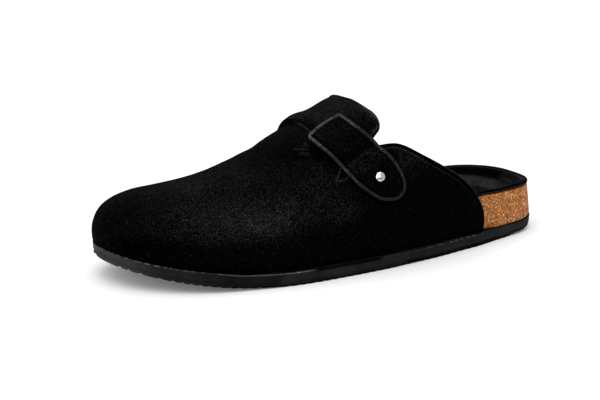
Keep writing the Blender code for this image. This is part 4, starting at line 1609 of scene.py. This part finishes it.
# footbed: cork with a dished top, flush with the outsole behind the upper
footbed = {
    "inset": 3.1,
    "heelBaseInset": 0.3,
    "heelRimInset": 2.2,
    "sideRimInset": 0.6,
    "sideFrom": 30.0,
    "flushTo": 36.0,
    "flushEnd": 47.5,
    "heelRim": 28.2,
    "heelSeat": 17.0,
    "foreHighlight": 15.0,
    "foreSeat": 13.8,
    "rimLevelTo": 72.0,
    "rimDownBy": 152.0,
    "archRise": 3.5,
    "archAt": 105.0,
    "archSpan": 28.0,
    "cup": ((2.4, 1.0), (5.6, 0.97), (8.5, 0.72), (12.0, 0.38), (16.0, 0.13), (21.0, 0.0), (60.0, 0.0)),
    "rows": 220,
    "cols": 40,
    "seatLevelTo": 55.0,
    "archAcross": 40.0,
    "wallRings": 15,
    "wallSwell": 0.25,
    "rimRound": 0.7,
    "rimDrop": 0.6,
    "footRound": 0.8,
    "grain": ((0.10, 1.7, 31.0), (0.14, 6.0, 35.0)),
    "under": ((0.35, 0.45), (1.1, 0.0), (6.0, 0.0)),
    "collarShade": 0.85,
    "soleShade": 0.6,
}


def heelInset(x, atHeel, atSide, inside):
    behind = atHeel + (atSide - atHeel) * ease(x / footbed["sideFrom"])
    run = footbed["flushEnd"] - footbed["flushTo"]
    return behind + (inside - behind) * fadeIn(x, footbed["flushTo"], run)


def footbedRim(x):
    fall = fadeIn(x, footbed["rimLevelTo"], footbed["rimDownBy"] - footbed["rimLevelTo"])
    return footbed["heelRim"] + (footbed["foreHighlight"] - footbed["heelRim"]) * fall + toeSpring(x)


def footbedTop(plan):
    x, y = plan.T
    cupAt, cupShare = np.array(footbed["cup"]).T
    near = pathDistance(plan, closed(wholeLoop))[0]
    share = np.clip(smoothCurve(cupAt, cupShare, np.maximum(near, cupAt[0])), 0.0, 1.0)
    fall = fadeIn(x, footbed["seatLevelTo"], footbed["rimDownBy"] - footbed["seatLevelTo"])
    arch = footbed["archRise"] * hump(x, footbed["archAt"], footbed["archSpan"])
    seat = footbed["heelSeat"] + (footbed["foreSeat"] - footbed["heelSeat"]) * fall
    seat = seat + arch * ease(0.5 - y / footbed["archAcross"]) + toeSpring(x)
    return seat + (np.maximum(footbedRim(x), seat) - seat) * share


def makeFootbed():
    rows = footbed["rows"]
    x = planLoop(rows)[:, 0]
    rim = heelInset(x, footbed["heelRimInset"], footbed["sideRimInset"], footbed["inset"])
    base = heelInset(x, footbed["heelBaseInset"], footbed["heelBaseInset"], footbed["inset"])
    bm, plan, tag = planSheet(planLoop(rows, rim + footbed["rimRound"]), rows, footbed["cols"])
    layOut(bm, onPlan(plan, footbedTop(plan)))
    mergeDoubles(bm)
    edges = borderEdges(bm)
    foot = soleTop(x) + soleLevels["gap"] * 0.5
    top = footbedRim(x)
    drop = footbed["rimDrop"]
    for share in np.arange(footbed["wallRings"] + 1) / footbed["wallRings"]:
        inset = rim + (base - rim) * share
        height = top - drop + (foot + footbed["footRound"] - top + drop) * share
        places = onPlan(planLoop(rows, inset), height)
        grain = sum(depth * roughness(places, size, seed) for depth, size, seed in footbed["grain"])
        swell = footbed["wallSwell"] * math.sin(math.pi * share)
        edges = addRing(bm, edges, onPlan(planLoop(rows, inset - grain - swell), height), tag)
    for inset, rise in footbed["under"]:
        edges = addRing(bm, edges, onPlan(planLoop(rows, base + inset), foot + rise), tag)
    fillHole(bm, edges)
    # shaded behind the collar and just over the sole
    places = shoePlaces(bm)
    collar = ribPoint(*collarLine(160, 160))
    dim = hump(pathDistance(places, collar)[0], 0.0, 3.2)
    low = hump(places[:, 2] - soleTop(places[:, 0]), 0.3, 0.7)
    paint(bm, "shade", (1.0 - footbed["collarShade"] * dim) * (1.0 - footbed["soleShade"] * low))
    finishPiece("footbed_cork", bm, [cork], ["footbed"])


makeFootbed()

# insole: suede lining over the dish, with a soft lip round its rim
insole = {
    "thick": 1.6,
    "lip": 2.2,
    "gap": 0.45,
    "lipInset": (1.9, 0.8, 3.5),  # at the heel, beside it, and inside the upper
    "lipRound": 0.75,
    "lipDip": 0.35,
    # rings of the lip: inset, rise and painted highlight
    "lipRings": (
        (0.40, -0.12, 0.0),
        (0.14, -0.40, 0.0),
        (0.0, -0.80, 0.02),
        (0.0, -1.15, 0.04),
        (0.0, -1.45, 0.7),
        (0.02, -1.70, 0.06),
        (0.2, -1.92, 0.0),
        (0.5, -2.08, 0.0),
    ),
    "uneven": 0.12,
    "heelLight": 0.33,
    "ballLight": 0.18,
    "backLight": 0.15,
    "lipLight": 0.30,
    "rows": 240,
    "cols": 64,
}


# tone of the suede: a painted sheen at heel and ball, a painted highlight line along the lip, a painted lit
# patch at the back, and painted shade towards the border
def insoleTone(x, y, near):
    sheenFalloff = 1.15 - 0.80 * fadeIn(near, 12.5, 3.0) * fadeOut(x, 44.0, 14.0)
    heel = fadeOut(x, 76.0, 34.0) * sheenFalloff
    ball = hump(np.hypot((x - 190.0) / 30.0, (y + 4.0) / 26.0), 0.0, 1.0)
    seat = fadeIn(near, 6.9, 1.6)
    back = fadeOut(x, 16.0, 6.0) * fadeIn(y, -13.0, 6.0)
    toneShineAndShade = 0.03 + insole["heelLight"] * heel + insole["ballLight"] * ball
    tone = 0.01 + seat * toneShineAndShade * (1.0 - 0.7 * back) + insole["backLight"] * back
    lines = insole["lipLight"] * hump(near, 2.9, 0.42)
    tone += lines + insole["lipLight"] * hump(near, 6.3, 0.5) * back * hump(y, -2.0, 6.0)
    return tone * fadeIn(near, 0.4, 1.5)


def makeInsole():
    rows, gap = insole["rows"], insole["gap"]
    lip = heelInset(planLoop(rows)[:, 0], *insole["lipInset"])
    loop = planLoop(rows, lip + insole["lipRound"])
    bm, plan, tag = planSheet(loop, rows, insole["cols"])
    near = pathDistance(plan, closed(loop))[0]
    dish = footbedTop(plan)
    thick = insole["thick"] + (insole["lip"] - insole["thick"]) * (1.0 - fadeIn(near, 1.5, 6.0))
    thick = thick - insole["lipDip"] * hump(near, 3.3, 0.9)
    thick = thick + insole["uneven"] * roughness(onPlan(plan, dish), 14.0, 41.0) * fadeIn(near, 3.0, 6.0)
    layOut(bm, onPlan(plan, dish + gap + thick))
    paint(bm, "toneAndLight", insoleTone(*plan.T, near))
    count = len(bm.verts)
    underSkin(bm, onPlan(plan, dish + gap * 0.6))
    bm.verts.ensure_lookup_table()
    topVerts = set(bm.verts[:count])
    mergeDoubles(bm)
    edges = [edge for edge in borderEdges(bm) if all(vert in topVerts for vert in edge.verts)]
    rimTop = footbedTop(loop) + gap
    toneAndLight = bm.verts.layers.float["toneAndLight"]
    for inset, rise, light in insole["lipRings"]:
        places = onPlan(planLoop(rows, lip + inset), rimTop + insole["lip"] + rise)
        edges = addRing(bm, edges, places, tag, toneAndLight, np.full(len(places), light))
    addRing(bm, edges, onPlan(loop, footbedTop(loop) + gap * 0.6), tag)
    closeUp(bm)
    finishPiece("insole_lining", bm, [suede], ["insole"])


makeInsole()

# pale floor, soft light and the camera of the photograph
studio = {
    "azimuth": 28.47,
    "elevation": 13.78,
    "distance": 731.0,
    "focal": 1287.0,
    "frameWidth": 600.0,
    "shift": (29.2, -17.3),
    "aim": (135.0, 0.0, 40.0),
    "floorSize": 6.0,
    "floorClouds": 6.0,
    "floorTones": ((0.3, (0.95, 0.95, 0.95)), (0.7, (0.96, 0.96, 0.96))),
    "sky": 0.995,
    # name, place, aim, size and watts
    "lights": (
        ("key", (0.45, 0.55, 1.0), (0.03, 0.0, 0.03), (0.7, 0.7), 3.0),
        ("low", (0.55, 0.25, 0.10), (0.12, 0.02, 0.0), (0.3, 0.15), 1.5),
        ("top", (-0.1, -0.1, 1.3), (0.0, 0.0, 0.0), (1.4, 1.4), 3.0),
    ),
}


def makeFloor():
    bm = bmesh.new()
    bmesh.ops.create_grid(bm, x_segments=1, y_segments=1, size=studio["floorSize"])
    mesh = bpy.data.meshes.new("floor")
    bm.to_mesh(mesh)
    bm.free()
    material, tree, shader, coords = newMaterial("floor paint")
    cloud = addNoise(tree, coords, studio["floorClouds"], 2.0)
    setValues(tree, shader, {
        "Base Color": addRamp(tree, cloud, studio["floorTones"]),
        "Roughness": 0.8,
        "Specular IOR Level": 0.2,
    })
    mesh.materials.append(material)
    floor = bpy.data.objects.new("floor", mesh)
    scene.collection.objects.link(floor)


def makeLight(name, place, aim, size, watts):
    light = bpy.data.lights.new(name, "AREA")
    light.shape = "RECTANGLE"
    light.size, light.size_y = size
    light.energy = watts
    lamp = bpy.data.objects.new(name, light)
    lamp.location = place
    lamp.rotation_mode = "QUATERNION"
    lamp.rotation_quaternion = (Vector(aim) - Vector(place)).to_track_quat("-Z", "Y")
    scene.collection.objects.link(lamp)


def makeStudio():
    world = bpy.data.worlds.new("studio")
    world.use_nodes = True
    sky = world.node_tree.nodes["Background"]
    sky.inputs["Color"].default_value = (1.0, 1.0, 1.0, 1.0)
    sky.inputs["Strength"].default_value = studio["sky"]
    scene.world = world
    for light in studio["lights"]:
        makeLight(*light)
    scene.view_settings.view_transform = "Standard"
    scene.view_settings.look = "None"


def makeCamera():
    turn, rise = math.radians(studio["azimuth"]), math.radians(studio["elevation"])
    back = Vector((math.sin(turn) * math.cos(rise), math.cos(turn) * math.cos(rise), math.sin(rise)))
    lens = bpy.data.cameras.new("camera")
    lens.sensor_width = 36.0
    lens.lens = studio["focal"] / studio["frameWidth"] * lens.sensor_width
    lens.shift_x = -studio["shift"][0] / studio["frameWidth"]
    lens.shift_y = studio["shift"][1] / studio["frameWidth"]
    lens.clip_start, lens.clip_end = 0.01, 50.0
    camera = bpy.data.objects.new("camera", lens)
    camera.location = Vector(toWorld(studio["aim"])) + back * studio["distance"] * mm
    camera.rotation_mode = "QUATERNION"
    camera.rotation_quaternion = (-back).to_track_quat("-Z", "Y")
    scene.collection.objects.link(camera)
    scene.camera = camera


makeFloor()
makeStudio()
makeCamera()
print("studio made")
